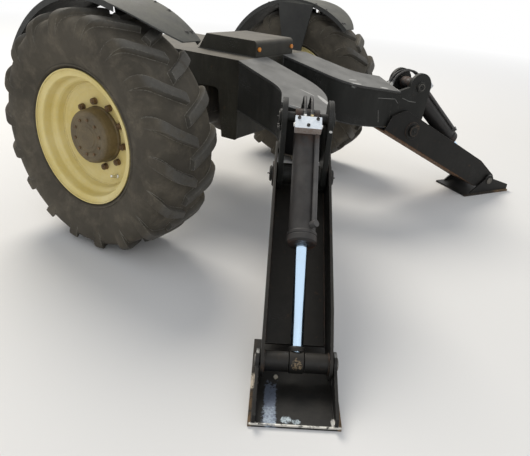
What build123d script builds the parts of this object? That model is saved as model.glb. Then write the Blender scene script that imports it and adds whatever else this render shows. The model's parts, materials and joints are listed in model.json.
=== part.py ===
# Front axle and stabiliser assembly of a telescopic handler, in millimetres.
# +X is forward, +Y is left and +Z is up. The ground is z = 0.
# The origin is on the ground, in the middle of the assembly's length and width.
import os
from math import asin, atan2, cos, degrees, hypot, radians, sin, tan

from build123d import *

os.makedirs("parts", exist_ok=True)

SIDES = (("right", -1), ("left", 1))
STEEL_GAP = 0.3

# Stabiliser leg: an open channel that swings in a plane splayed forward from straight sideways
LEG_SPLAY = 31.6
LEG_AHEAD = 981
LEG_Y = 688
LEG_PIN_Z = 538
LEG_LENGTH = 960
LEG_W = 268
LEG_PLATE = 12
LEG_HALF_DEPTH = 95
LEG_TAIL = 215
LEG_TAIL_SLOPE = 85
LEG_TAIL_R = 70
LEG_FLOOR_START = 160
LEG_FLOOR_END = 110
LEG_NECK = 180
LEG_TOE_R = 60
LEG_PIN_R = 30
LEG_RING_R = 58
LEG_RING = 8
PIN_CLEAR = 0.5

# Foot: a base plate with a cheek on each side of the leg
FOOT_PIN_Z = 104
FOOT_PIN_R = 20
FOOT_W = 329
FOOT_INNER = 240
FOOT_OUTER = 225
FOOT_PLATE = 15
FOOT_CHEEK = 12
FOOT_GAP = 5
FOOT_BOSS_R = 46
FOOT_CHEEK_LIP = 38
FOOT_CHEEK_BACK = 60
FOOT_SHOULDER = 10
FOOT_PIN_SET = 4
FOOT_PIN_HEAD = 6
ROD_EYE_R = 42
ROD_EYE_W = 56
EYE_SIDE_GAP = 2
FOOT_TUBE_R = 38

# Stabiliser cylinder, from its upper pin in the arm's lugs to the rod's eye at the foot pin
CYL_PIN_U = 19
CYL_PIN_Z = 826
CYL_PIN_R = 25
BARREL_R = 57.5
BARREL_BORE_R = 48
BARREL_LENGTH = 600
BARREL_BORE_START = 130
BARREL_EYE_R = 42
BARREL_EYE_W = 112
GLAND_R = 64
GLAND_LENGTH = 52
GLAND_OVERLAP = 20
GLAND_CHAMFER = 8
BARREL_START = 20
ROD_R = 25
ROD_INSIDE = 90
VALVE_W = 118
VALVE_LENGTH = 63
VALVE_START = 62
VALVE_T = 46
FITTING_R = 10
FITTING_LENGTH = 22

# Feed pipe along each barrel, from the valve block to a boss near the gland
PIPE_R = 11
PIPE_TURN = 39.4
PIPE_END_SET = 45
PIPE_BOSS_R = 15
PIPE_BOSS_OUT = 26

# Two hoses a side, from ports on the arm's top plate over the cylinder pin to the valve block
HOSE_R = 7
HOSE_SPACING = 31
HOSE_END_RUN = 45
PORT_R = 12
PORT_U = -138
PORT_HEIGHT = 12
PORT_LENGTH = 60

# Dog-leg arms that carry the legs; their top and bottom plates slope down forward
ARM_W = 234
ARM_WALL = 12
ARM_TOP_AT_FRAME = 952
ARM_TOP_SLOPE = 0.247
ARM_BOTTOM_AT_FRAME = 684
ARM_BOTTOM_SLOPE = 0.19
ARM_PLATE = 12
ARM_PLATE_LIP = 6
ARM_END_U = -150
ARM_OUTER_ROOT_Y = 368
ARM_INNER_ROOT_Y = 96
ARM_OUTER_BEND_Y = 444
ARM_INNER_BEND_Y = 157
ARM_OUTER_BEND_R = 200
ARM_INNER_BEND_R = 300
LUG = 25
LUG_TOP_R = 88
LUG_LOW_R = 70
LUG_ROOT_LOW = 25
LUG_ROOT_HIGH = 12
LUG_WAIST_U = 84
LUG_WAIST_Z = 628
LUG_TUBE_T = 16
PIN_CAP_GAP = 1
PIN_CAP_T = 9
LEG_PIN_CAP_LIP = 8
CYL_PIN_CAP_LIP = 10

# Frame: two side plates joined by deck, belly, nose and rear bulkhead
FRAME_REAR = 620
FRAME_FRONT = 350
FRAME_HALF_W = 366
FRAME_PLATE = 18
FRAME_TOP_Z = 964
FRAME_LOW_Z = 505
FRAME_HIGH_Z = 790
FRAME_TAIL_Z = 595
ARCH_REAR_FOOT = 330
ARCH_REAR = 190
ARCH_FRONT = 205
ARCH_FRONT_FOOT = 240
ARCH_R = 30
BELLY = 12
NOSE_HALF_W = 205
NOSE_TOP_Z = 1058
NOSE_LENGTH = 430
NOSE_BACK_RUN = 60
NOSE_R = 26
NOSE_WALL = 10
REFLECTOR_R = 13
REFLECTOR_T = 9
REFLECTOR_Y = 180
REFLECTOR_Z = 1010
BULKHEAD = 20
BULKHEAD_BOLT_R = 11
BULKHEAD_BOLT_Y = 540
BULKHEAD_BOLT_Z = 260
BULKHEAD_WINDOW_Y = 380
BULKHEAD_WINDOW_Z = 160

# Front axle; its wheel ends are placed from the middles of the tyres
TRACK_HALF = 1010
WHEEL_Z = 600
HOUSING_R = 168
HOUSING_HALF_W = 150
AXLE_TUBE_R = 88
AXLE_END_R = 74
KING_SET = 180
KING_PIN_R = 28
YOKE_HALF_H = 138
YOKE_T = 34
YOKE_R = 62
YOKE_WEB = 45
YOKE_WEB_T = 32
YOKE_BACK = 100
KNUCKLE_R = 58
KNUCKLE_GAP = 3
KING_PIN_CAP = 10
SPINDLE_R = 112
SPINDLE_SET = 25
SPINDLE_NECK_R = 89.6
SPINDLE_NECK_SET = 40
SPINDLE_FLANGE = 30
STEER_ARM = 215
STEER_ARM_T = 26
STEER_CYL_R = 34
STEER_ROD_R = 16
STEER_EYE_R = 26
STEER_EYE_BACK = 30
STEER_CYL_HALF = 300
STEER_LUG_H = 44
STEER_LUG_T = 30
STEER_LUG_ROOT = 30
SADDLE_Y = 250
SADDLE_W = 120
SADDLE_SHIFT = 30
SADDLE_LIP = 30
SADDLE_R = 16
SADDLE_TAPER_SET = 10

# Wheels: 24 inch rims with traction tyres
TYRE_R = 600
TYRE_W = 395
TYRE_BASE_R = 566
TYRE_SIDE_R = 455
TYRE_SKIN = 24
TYRE_BEAD_SET = 12
TYRE_BEAD_TOP = 6
TYRE_FLANK_IN = 6
TYRE_FLANK_DROP = 60
TYRE_SHOULDER_IN = 16
TYRE_SHOULDER_DROP = 40
TYRE_CROWN_IN = 48
TYRE_CROWN_DROP = 8
TYRE_CROWN_RISE = 4
TYRE_BELT = 34
TYRE_BELT_IN = 60
TREAD_COUNT = 18
TREAD_W = 52
TREAD_OVER_MIDDLE = 16
TREAD_BEND = 60
TREAD_BEND_SWEEP = 40
TREAD_SWEEP = 130
TREAD_FLARE = 6
TREAD_ROOT = 90
TREAD_DEPTH_OUT = 80
TREAD_SIDE_IN = 6
TREAD_SIDE_DROP = 42
TREAD_EDGE_IN = 30
TREAD_EDGE_DROP = 12
TREAD_TOP_IN = 60
RIM_FLANGE_R = 335
RIM_HALF_W = 165
RIM_SEAT_R = 305
RIM_SKIN = 10
RIM_LIP = 4
RIM_LIP_T = 9
RIM_SEAT_SET = 8
RIM_SEAT_W = 60
RIM_SEAT_FALL = 5
RIM_WELL_OUT = 75
RIM_WELL_IN = 100
RIM_FOLD = 3
RIM_SEAT_FOLD = 2
RIM_WELL_R = 268
DISC_OUT = 40
DISC_R = 236
DISC_T = 16
DISC_RISE = 12
DISC_ROOT = 2
DISC_FOLD = 4
HUB_R = 142
HUB_OUT = 132
HUB_FLANGE_R = 192
HUB_FLANGE_T = 20
HUB_BACK_SET = 40
HUB_EDGE = 22
HUB_EDGE_IN = 16
HUB_CAP_R = 66
HUB_CAP_T = 4
NUT_COUNT = 10
NUT_START_DEG = 26.5
NUT_CIRCLE_R = 167
NUT_R = 17
NUT_OUT = 26

# Mudguards turn with the wheels
GUARD_GAP = 55
GUARD_T = 6
GUARD_LIP = 22
GUARD_INNER_SET = 215
GUARD_OUTER_SET = 100
GUARD_FRONT_DEG = 49
GUARD_REAR_DEG = 150
GUARD_TIP_SET = 160
GUARD_CUT_START = 110
GUARD_CUT_MIDDLE = 330
GUARD_CUT_DEPTH = 70
GUARD_CUT_END = 460
GUARD_BRACKET_T = 10
GUARD_BRACKET_HALF = 45
GUARD_BRACKET_SPREAD = 150

# Places that follow from the sizes above
SPLAY_SIN = sin(radians(LEG_SPLAY))
SPLAY_COS = cos(radians(LEG_SPLAY))
LEG_DROP = degrees(asin((LEG_PIN_Z - FOOT_PIN_Z) / LEG_LENGTH))
FOOT_PIN_U = LEG_LENGTH * cos(radians(LEG_DROP))
FRONT_REACH = LEG_AHEAD + (FOOT_PIN_U + FOOT_OUTER) * SPLAY_SIN + FOOT_W / 2 * SPLAY_COS
AXLE_X = (FRAME_REAR - FRONT_REACH) / 2
LEG_X = AXLE_X + LEG_AHEAD
FRONT_X = AXLE_X + FRAME_FRONT
REAR_X = AXLE_X - FRAME_REAR
CYL_DROP = degrees(atan2(CYL_PIN_Z - FOOT_PIN_Z, FOOT_PIN_U - CYL_PIN_U))
CYL_LENGTH = hypot(FOOT_PIN_U - CYL_PIN_U, CYL_PIN_Z - FOOT_PIN_Z)
PIPE_END = BARREL_LENGTH - PIPE_END_SET
ARM_HALF_W = ARM_W / 2
KING_Y = TRACK_HALF - KING_SET
SPINDLE_FACE_Y = TRACK_HALF - SPINDLE_SET
GUARD_R = TYRE_R + GUARD_GAP
GUARD_INNER_Y = TRACK_HALF - GUARD_INNER_SET
GUARD_OUTER_Y = TRACK_HALF + GUARD_OUTER_SET
GUARD_TIP_Y = TRACK_HALF - GUARD_TIP_SET

# Middle of each hose's route in its leg's plane, as (u, z), between the valve block and the arm's port
HOSE_ARCH = [(19, 914), (-38, 915), (-90, 897), (-124, 868)]


def splay_plane(side, offset=0):
    """Upright plane of a leg: sketch x runs outward along the leg, sketch y is up."""
    outward = (SPLAY_SIN, side * SPLAY_COS, 0)
    across = (side * SPLAY_COS, -SPLAY_SIN, 0)
    return Plane(origin=(LEG_X, side * LEG_Y, 0), x_dir=outward, z_dir=across).offset(offset)


def tilted_plane(side, u, z, drop, offset=0):
    """The same plane, its origin moved to (u, z) and its x turned down by drop degrees."""
    base = splay_plane(side, offset)
    level = cos(radians(drop))
    along = base.x_dir * level - Vector(0, 0, sin(radians(drop)))
    return Plane(origin=base.from_local_coords(Vector(u, z, 0)), x_dir=along, z_dir=base.z_dir)


def leg_plane(side, offset=0):
    return tilted_plane(side, 0, LEG_PIN_Z, LEG_DROP, offset)


def cyl_plane(side, offset=0):
    return tilted_plane(side, CYL_PIN_U, CYL_PIN_Z, CYL_DROP, offset)


def cross_plane(plane, along):
    """Plane across the sketch x of another plane, at a distance along it."""
    return Plane(origin=plane.from_local_coords(Vector(along, 0, 0)), x_dir=plane.y_dir, z_dir=plane.x_dir)


def hose_points(side, v):
    """Corners of one hose's route: out of the valve block's fitting, over the pin, down to the arm's port."""
    plane = splay_plane(side, v)
    axis = cyl_plane(side, v)
    level = BARREL_R + STEEL_GAP + VALVE_T / 2
    start = axis.from_local_coords(Vector(VALVE_START - FITTING_LENGTH, level, 0))
    port_z = arm_top(LEG_X + PORT_U * SPLAY_SIN) + ARM_PLATE + PORT_HEIGHT
    arch = [plane.from_local_coords(Vector(u, z, 0)) for u, z in HOSE_ARCH + [(PORT_U, port_z)]]
    return [start, start - axis.x_dir * HOSE_END_RUN] + arch


def edge_point(v, y):
    """Point at height y in plan on the long edge of an arm's outer stretch, v ahead of its middle."""
    x = LEG_X + v * SPLAY_COS + (y - (LEG_Y - v * SPLAY_SIN)) * SPLAY_SIN / SPLAY_COS
    return (x, y)


def splay_point(u, v):
    return (LEG_X + u * SPLAY_SIN + v * SPLAY_COS, LEG_Y + u * SPLAY_COS - v * SPLAY_SIN)


def arm_outline(inset):
    """Plan of the left arm, as a closed list of points, drawn in by inset."""
    half = ARM_HALF_W - inset
    return [
        (FRONT_X, ARM_OUTER_ROOT_Y - inset),
        edge_point(-half, ARM_OUTER_BEND_Y - inset),
        splay_point(ARM_END_U - max(inset, 0), -half),
        splay_point(ARM_END_U - max(inset, 0), half),
        edge_point(half, ARM_INNER_BEND_Y + inset),
        (FRONT_X, ARM_INNER_ROOT_Y + inset),
    ]


def arm_block(side, inset, low, high):
    """Block over an arm's plan, drawn in by inset, between two heights that are functions of x."""
    with BuildPart(mode=Mode.PRIVATE) as block:
        with BuildSketch() as plan:
            with BuildLine():
                Polyline(*mirrored(arm_outline(inset), side), close=True)
            make_face()
            outer_bend, inner_bend = mirrored([arm_outline(inset)[1], arm_outline(inset)[4]], side)
            fillet(plan.vertices().sort_by_distance(outer_bend)[0], radius=ARM_OUTER_BEND_R + inset)
            fillet(plan.vertices().sort_by_distance(inner_bend)[0], radius=ARM_INNER_BEND_R - inset)
        extrude(amount=FRAME_TOP_Z + ARM_PLATE)
        with BuildSketch(Plane.XZ):
            with BuildLine():
                Polyline(
                    (FRONT_X, low(FRONT_X)),
                    (LEG_X, low(LEG_X)),
                    (LEG_X, high(LEG_X)),
                    (FRONT_X, high(FRONT_X)),
                    close=True,
                )
            make_face()
        extrude(amount=-side * LEG_Y, mode=Mode.INTERSECT)
    return block.part


def arm_top(x):
    return ARM_TOP_AT_FRAME - ARM_TOP_SLOPE * (x - FRONT_X)


def arm_bottom(x):
    return ARM_BOTTOM_AT_FRAME - ARM_BOTTOM_SLOPE * (x - FRONT_X)


def mirrored(points, side):
    return [(x, side * y) for x, y in points]


def save(builder, label):
    builder.part.label = label
    export_step(builder.part, f"parts/{label}.step")


# Frame side plates, cut away over the axle and carried down in front of it
for name, side in SIDES:
    with BuildPart() as frame_side:
        with BuildSketch(Plane.XZ.offset(-side * FRAME_HALF_W)):
            with BuildLine():
                Polyline(
                    (REAR_X + BULKHEAD, FRAME_TAIL_Z),
                    (AXLE_X - ARCH_REAR_FOOT, FRAME_TAIL_Z),
                    (AXLE_X - ARCH_REAR, FRAME_HIGH_Z),
                    (AXLE_X + ARCH_FRONT, FRAME_HIGH_Z),
                    (AXLE_X + ARCH_FRONT_FOOT, FRAME_LOW_Z),
                    (FRONT_X - BELLY, FRAME_LOW_Z),
                    (FRONT_X, FRAME_LOW_Z + BELLY),
                    (FRONT_X, FRAME_TOP_Z),
                    (REAR_X + BULKHEAD, FRAME_TOP_Z),
                    close=True,
                )
            make_face()
        extrude(amount=side * FRAME_PLATE)
        fillet(frame_side.edges().filter_by(Axis.Y).group_by(Axis.Z)[-2], radius=ARCH_R)
    save(frame_side, f"frame_side_{name}")

FRAME_INNER_W = 2 * (FRAME_HALF_W - FRAME_PLATE)

with BuildPart() as frame_deck:
    with BuildSketch(Plane.XY.offset(FRAME_TOP_Z - FRAME_PLATE)):
        with Locations(((REAR_X + BULKHEAD + FRONT_X) / 2, 0)):
            Rectangle(FRONT_X - REAR_X - BULKHEAD, FRAME_INNER_W)
    extrude(amount=FRAME_PLATE)
save(frame_deck, "frame_deck")

with BuildPart() as frame_belly:
    with BuildSketch(Plane.XZ):
        with BuildLine():
            Polyline(
                (AXLE_X - ARCH_REAR, FRAME_HIGH_Z),
                (AXLE_X + ARCH_FRONT, FRAME_HIGH_Z),
                (AXLE_X + ARCH_FRONT_FOOT, FRAME_LOW_Z),
                (FRONT_X - FRAME_PLATE, FRAME_LOW_Z),
                (FRONT_X - FRAME_PLATE, FRAME_LOW_Z + BELLY),
                (AXLE_X + ARCH_FRONT_FOOT + BELLY, FRAME_LOW_Z + BELLY),
                (AXLE_X + ARCH_FRONT + BELLY, FRAME_HIGH_Z + BELLY),
                (AXLE_X - ARCH_REAR, FRAME_HIGH_Z + BELLY),
                close=True,
            )
        make_face()
    extrude(amount=FRAME_INNER_W / 2, both=True)
save(frame_belly, "frame_belly")

# Front cross plate of the frame, which the arms butt against
with BuildPart() as frame_front:
    with BuildSketch(Plane.YZ.offset(FRONT_X - FRAME_PLATE)):
        with Locations((0, (FRAME_LOW_Z + FRAME_TOP_Z - FRAME_PLATE + BELLY) / 2)):
            Rectangle(FRAME_INNER_W, FRAME_TOP_Z - FRAME_PLATE - FRAME_LOW_Z - BELLY)
    extrude(amount=FRAME_PLATE)
save(frame_front, "frame_front")

# Raised nose on the deck, swept forward at its foot, with a reflector on each side
with BuildPart() as frame_nose:
    with BuildSketch(Plane.XZ):
        with BuildLine():
            Polyline(
                (FRONT_X - NOSE_LENGTH, FRAME_TOP_Z),
                (FRONT_X - NOSE_LENGTH + NOSE_BACK_RUN, NOSE_TOP_Z),
                (FRONT_X - NOSE_R, NOSE_TOP_Z),
            )
            RadiusArc((FRONT_X - NOSE_R, NOSE_TOP_Z), (FRONT_X, NOSE_TOP_Z - NOSE_R), NOSE_R)
            Polyline(
                (FRONT_X, NOSE_TOP_Z - NOSE_R),
                (FRONT_X, FRAME_TOP_Z),
                (FRONT_X - NOSE_LENGTH, FRAME_TOP_Z),
            )
        make_face()
    extrude(amount=NOSE_HALF_W, both=True)
    offset(amount=-NOSE_WALL, openings=frame_nose.faces().sort_by(Axis.Z)[0])
save(frame_nose, "frame_nose")

with BuildPart() as nose_reflectors:
    with BuildSketch(Plane.YZ.offset(FRONT_X)):
        with Locations((-REFLECTOR_Y, REFLECTOR_Z), (REFLECTOR_Y, REFLECTOR_Z)):
            Circle(REFLECTOR_R)
    extrude(amount=REFLECTOR_T)
save(nose_reflectors, "nose_reflectors")

with BuildPart() as rear_bulkhead:
    with BuildSketch(Plane.YZ.offset(REAR_X)):
        with Locations((0, (FRAME_TAIL_Z + FRAME_TOP_Z) / 2)):
            Rectangle(2 * FRAME_HALF_W, FRAME_TOP_Z - FRAME_TAIL_Z)
            Rectangle(BULKHEAD_WINDOW_Y, BULKHEAD_WINDOW_Z, mode=Mode.SUBTRACT)
            with GridLocations(BULKHEAD_BOLT_Y, BULKHEAD_BOLT_Z, 2, 2):
                Circle(BULKHEAD_BOLT_R, mode=Mode.SUBTRACT)
    extrude(amount=BULKHEAD)
save(rear_bulkhead, "rear_bulkhead")

# Plane of the arms' top walls, which cuts the hose ports flush under the top plates
arm_underside = Plane(
    origin=(FRONT_X, 0, ARM_TOP_AT_FRAME), x_dir=(0, 1, 0), z_dir=(ARM_TOP_SLOPE, 0, 1)
)

# Dog-leg arms: a hollow box of four walls, closed at the leg end, under a top plate with two hose ports
for name, side in SIDES:
    with BuildPart() as arm:
        add(arm_block(side, 0, arm_bottom, arm_top))
        add(arm_block(side, ARM_WALL, lambda x: arm_bottom(x) + ARM_WALL, arm_top), mode=Mode.SUBTRACT)
    save(arm, f"arm_{name}")

    with BuildPart() as arm_plate:
        add(arm_block(side, -ARM_PLATE_LIP, arm_top, lambda x: arm_top(x) + ARM_PLATE))
        for v in (-HOSE_SPACING / 2, HOSE_SPACING / 2):
            before, foot = hose_points(side, v)[-2:]
            with BuildSketch(Plane(origin=foot, z_dir=foot - before)):
                RegularPolygon(PORT_R, 6)
            extrude(amount=PORT_LENGTH)
        split(bisect_by=arm_underside, keep=Keep.TOP)
    save(arm_plate, f"arm_plate_{name}")

# Lugs at the end of each arm, with the leg pin and the cylinder pin across them
LUG_ROOT_X = LEG_X + ARM_END_U * SPLAY_SIN
for name, side in SIDES:
    with BuildPart() as arm_lugs:
        for face in (-1, 1):
            with BuildSketch(splay_plane(side, face * (ARM_HALF_W - LUG / 2))):
                with BuildLine():
                    Polyline(
                        (ARM_END_U, arm_bottom(LUG_ROOT_X) + LUG_ROOT_LOW),
                        (ARM_END_U, arm_top(LUG_ROOT_X) - LUG_ROOT_HIGH),
                        (CYL_PIN_U - LUG_TOP_R, CYL_PIN_Z),
                        (CYL_PIN_U, CYL_PIN_Z + LUG_TOP_R),
                        (CYL_PIN_U + LUG_TOP_R, CYL_PIN_Z),
                        (LUG_WAIST_U, LUG_WAIST_Z),
                        (LUG_LOW_R, LEG_PIN_Z),
                        (0, LEG_PIN_Z - LUG_LOW_R),
                        (-LUG_LOW_R, LEG_PIN_Z),
                        close=True,
                    )
                make_face()
                with Locations((CYL_PIN_U, CYL_PIN_Z)):
                    Circle(LUG_TOP_R)
                with Locations((0, LEG_PIN_Z)):
                    Circle(LUG_LOW_R)
            extrude(amount=LUG / 2, both=True)
        with BuildSketch(splay_plane(side)):
            with Locations((0, LEG_PIN_Z)):
                Circle(LEG_PIN_R + LUG_TUBE_T)
        extrude(amount=ARM_HALF_W - LUG, both=True)
        with BuildSketch(splay_plane(side)):
            with Locations((0, LEG_PIN_Z)):
                Circle(LEG_PIN_R)
        extrude(amount=LEG_W / 2 + LEG_RING + PIN_CAP_GAP, both=True)
        with BuildSketch(splay_plane(side)):
            with Locations((CYL_PIN_U, CYL_PIN_Z)):
                Circle(CYL_PIN_R)
        extrude(amount=ARM_HALF_W, both=True)
        for face in (-1, 1):
            with BuildSketch(splay_plane(side, face * (LEG_W / 2 + LEG_RING + PIN_CAP_GAP))):
                with Locations((0, LEG_PIN_Z)):
                    Circle(LEG_PIN_R + LEG_PIN_CAP_LIP)
            extrude(amount=face * PIN_CAP_T)
            with BuildSketch(splay_plane(side, face * ARM_HALF_W)):
                with Locations((CYL_PIN_U, CYL_PIN_Z)):
                    Circle(CYL_PIN_R + CYL_PIN_CAP_LIP)
            extrude(amount=face * PIN_CAP_T)
    save(arm_lugs, f"arm_lugs_{name}")

# Stabiliser legs: an open channel, rings at the leg pin, and half a boss tube on each cheek for the foot pin
for name, side in SIDES:
    with BuildPart() as leg:
        for face in (-1, 1):
            with BuildSketch(leg_plane(side, face * (LEG_W / 2 - LEG_PLATE / 2))) as cheek:
                with BuildLine():
                    Polyline(
                        (-LEG_TAIL, -LEG_HALF_DEPTH),
                        (LEG_LENGTH - LEG_FLOOR_END, -LEG_HALF_DEPTH),
                        (LEG_LENGTH, -LEG_TOE_R),
                        (LEG_LENGTH, LEG_TOE_R),
                        (LEG_LENGTH - LEG_NECK, LEG_HALF_DEPTH),
                        (LEG_TAIL_SLOPE - LEG_TAIL, LEG_HALF_DEPTH),
                        (-LEG_TAIL, LEG_HALF_DEPTH - LEG_TAIL_SLOPE),
                        close=True,
                    )
                make_face()
                tail_corner = (LEG_TAIL_SLOPE - LEG_TAIL, LEG_HALF_DEPTH)
                fillet(cheek.vertices().sort_by_distance(tail_corner)[0], radius=LEG_TAIL_R)
                with Locations((LEG_LENGTH, 0)):
                    Circle(LEG_TOE_R)
            extrude(amount=LEG_PLATE / 2, both=True)
            with BuildSketch(leg_plane(side, face * LEG_W / 2)):
                Circle(LEG_RING_R)
            extrude(amount=face * LEG_RING)
        with BuildSketch(leg_plane(side)):
            floor_end = LEG_LENGTH - LEG_FLOOR_END
            with Locations(((floor_end - LEG_FLOOR_START) / 2, LEG_PLATE / 2 - LEG_HALF_DEPTH)):
                Rectangle(floor_end + LEG_FLOOR_START, LEG_PLATE)
        extrude(amount=LEG_W / 2 - LEG_PLATE, both=True)
        TUBE_START = ROD_EYE_W / 2 + EYE_SIDE_GAP
        for face in (-1, 1):
            with BuildSketch(leg_plane(side, face * TUBE_START)):
                with Locations((LEG_LENGTH, 0)):
                    Circle(FOOT_TUBE_R)
            extrude(amount=face * (LEG_W / 2 - LEG_PLATE / 2 - TUBE_START))
        with BuildSketch(leg_plane(side)):
            Circle(LEG_PIN_R + PIN_CLEAR)
            with Locations((LEG_LENGTH, 0)):
                Circle(FOOT_PIN_R + PIN_CLEAR)
        extrude(amount=LEG_W, both=True, mode=Mode.SUBTRACT)
    save(leg, f"leg_{name}")

# Feet
CHEEK_V = LEG_W / 2 + FOOT_GAP
for name, side in SIDES:
    with BuildPart() as foot:
        with BuildSketch(splay_plane(side)):
            with Locations((FOOT_PIN_U + (FOOT_OUTER - FOOT_INNER) / 2, FOOT_PLATE / 2)):
                Rectangle(FOOT_INNER + FOOT_OUTER, FOOT_PLATE)
        extrude(amount=FOOT_W / 2, both=True)
        for face in (-1, 1):
            with BuildSketch(splay_plane(side, face * CHEEK_V)):
                with BuildLine():
                    Polyline(
                        (FOOT_PIN_U - FOOT_INNER + FOOT_CHEEK_BACK, FOOT_PLATE),
                        (FOOT_PIN_U + FOOT_OUTER, FOOT_PLATE),
                        (FOOT_PIN_U + FOOT_OUTER, FOOT_PLATE + FOOT_CHEEK_LIP),
                        (FOOT_PIN_U + FOOT_BOSS_R, FOOT_PIN_Z + FOOT_SHOULDER),
                        (FOOT_PIN_U, FOOT_PIN_Z + FOOT_BOSS_R),
                        (FOOT_PIN_U - FOOT_BOSS_R, FOOT_PIN_Z + FOOT_SHOULDER),
                        close=True,
                    )
                make_face()
                with Locations((FOOT_PIN_U, FOOT_PIN_Z)):
                    Circle(FOOT_BOSS_R)
            extrude(amount=face * FOOT_CHEEK)
            with BuildSketch(splay_plane(side, face * (TUBE_START + FOOT_PIN_SET))):
                with Locations((FOOT_PIN_U, FOOT_PIN_Z)):
                    Circle(FOOT_PIN_R)
            extrude(amount=face * (CHEEK_V + FOOT_CHEEK + FOOT_PIN_HEAD - TUBE_START - FOOT_PIN_SET))
    save(foot, f"foot_{name}")

# Cylinders: barrel with end eye and gland
for name, side in SIDES:
    axis = cyl_plane(side)
    with BuildPart() as barrel:
        with BuildSketch(axis):
            Circle(BARREL_EYE_R)
        extrude(amount=BARREL_EYE_W / 2, both=True)
        with BuildSketch(cross_plane(axis, BARREL_START)):
            Circle(BARREL_R)
        extrude(amount=BARREL_LENGTH - BARREL_START)
        with BuildSketch(cross_plane(axis, BARREL_LENGTH - GLAND_OVERLAP)):
            Circle(GLAND_R)
        extrude(amount=GLAND_LENGTH)
        chamfer(barrel.faces().sort_by(Axis(axis.origin, axis.x_dir))[-1].edges(), length=GLAND_CHAMFER)
        with BuildSketch(cross_plane(axis, BARREL_BORE_START)):
            Circle(BARREL_BORE_R)
        extrude(amount=BARREL_LENGTH - GLAND_OVERLAP - BARREL_BORE_START, mode=Mode.SUBTRACT)
        with BuildSketch(cross_plane(axis, BARREL_LENGTH - GLAND_OVERLAP)):
            Circle(ROD_R + PIN_CLEAR)
        extrude(amount=GLAND_LENGTH, mode=Mode.SUBTRACT)
        with BuildSketch(axis):
            Circle(CYL_PIN_R + PIN_CLEAR)
        extrude(amount=BARREL_EYE_W, both=True, mode=Mode.SUBTRACT)
    save(barrel, f"barrel_{name}")

    with BuildPart() as rod:
        with BuildSketch(cross_plane(axis, BARREL_LENGTH - ROD_INSIDE)):
            Circle(ROD_R)
        extrude(amount=CYL_LENGTH - BARREL_LENGTH + ROD_INSIDE - ROD_EYE_R / 2)
        with BuildSketch(axis):
            with Locations((CYL_LENGTH, 0)):
                Circle(ROD_EYE_R)
        extrude(amount=ROD_EYE_W / 2, both=True)
    save(rod, f"rod_{name}")

    VALVE_FOOT = BARREL_R + STEEL_GAP
    with BuildPart() as valve_block:
        with BuildSketch(axis):
            with Locations((VALVE_START + VALVE_LENGTH / 2, VALVE_FOOT + VALVE_T / 2)):
                Rectangle(VALVE_LENGTH, VALVE_T)
        extrude(amount=VALVE_W / 2, both=True)
        chamfer(valve_block.edges(), length=2)
        port_plane = Plane(
            origin=axis.from_local_coords(Vector(VALVE_START, VALVE_FOOT + VALVE_T / 2, 0)),
            x_dir=axis.z_dir,
            z_dir=-axis.x_dir,
        )
        with BuildSketch(port_plane):
            with Locations((-HOSE_SPACING / 2, 0), (HOSE_SPACING / 2, 0)):
                RegularPolygon(FITTING_R, 6)
        extrude(amount=FITTING_LENGTH)
    save(valve_block, f"valve_block_{name}")

    # Feed pipe on the forward side of the barrel, with the boss that leads into the rod end
    pipe_out = BARREL_R + STEEL_GAP + PIPE_R
    pipe_turned = Vector(0, pipe_out * cos(radians(PIPE_TURN)), side * pipe_out * sin(radians(PIPE_TURN)))
    with BuildPart() as feed_pipe:
        pipe_start = axis.from_local_coords(Vector(VALVE_START + VALVE_LENGTH + STEEL_GAP, 0, 0) + pipe_turned)
        with BuildSketch(Plane(origin=pipe_start, x_dir=axis.z_dir, z_dir=axis.x_dir)):
            Circle(PIPE_R)
        extrude(amount=PIPE_END - VALVE_START - VALVE_LENGTH)
        boss_middle = axis.from_local_coords(Vector(PIPE_END, 0, 0))
        boss_out = axis.from_local_coords(Vector(PIPE_END, 0, 0) + pipe_turned) - boss_middle
        with BuildSketch(Plane(origin=boss_middle, x_dir=axis.x_dir, z_dir=boss_out)):
            Circle(PIPE_BOSS_R)
        extrude(amount=BARREL_R + PIPE_BOSS_OUT)
        with BuildSketch(cross_plane(axis, 0)):
            Circle(BARREL_R + STEEL_GAP)
        extrude(amount=CYL_LENGTH, mode=Mode.SUBTRACT)
    save(feed_pipe, f"feed_pipe_{name}")

    # Hoses
    with BuildPart() as hoses:
        for v in (-HOSE_SPACING / 2, HOSE_SPACING / 2):
            points = hose_points(side, v)
            runs = [b - a for a, b in zip(points, points[1:])]
            radii = [
                0.45 * min(a.length, b.length) / tan(radians(a.get_angle(b)) / 2)
                for a, b in zip(runs, runs[1:])
            ]
            with BuildLine() as route:
                FilletPolyline(*points, radius=radii)
            with BuildSketch(Plane(origin=points[0], z_dir=runs[0])):
                Circle(HOSE_R)
            sweep(path=route.wires()[0])
    save(hoses, f"hoses_{name}")
    print("hose", name, "radii", [round(r) for r in radii], "length", round(route.wires()[0].length))

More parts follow.
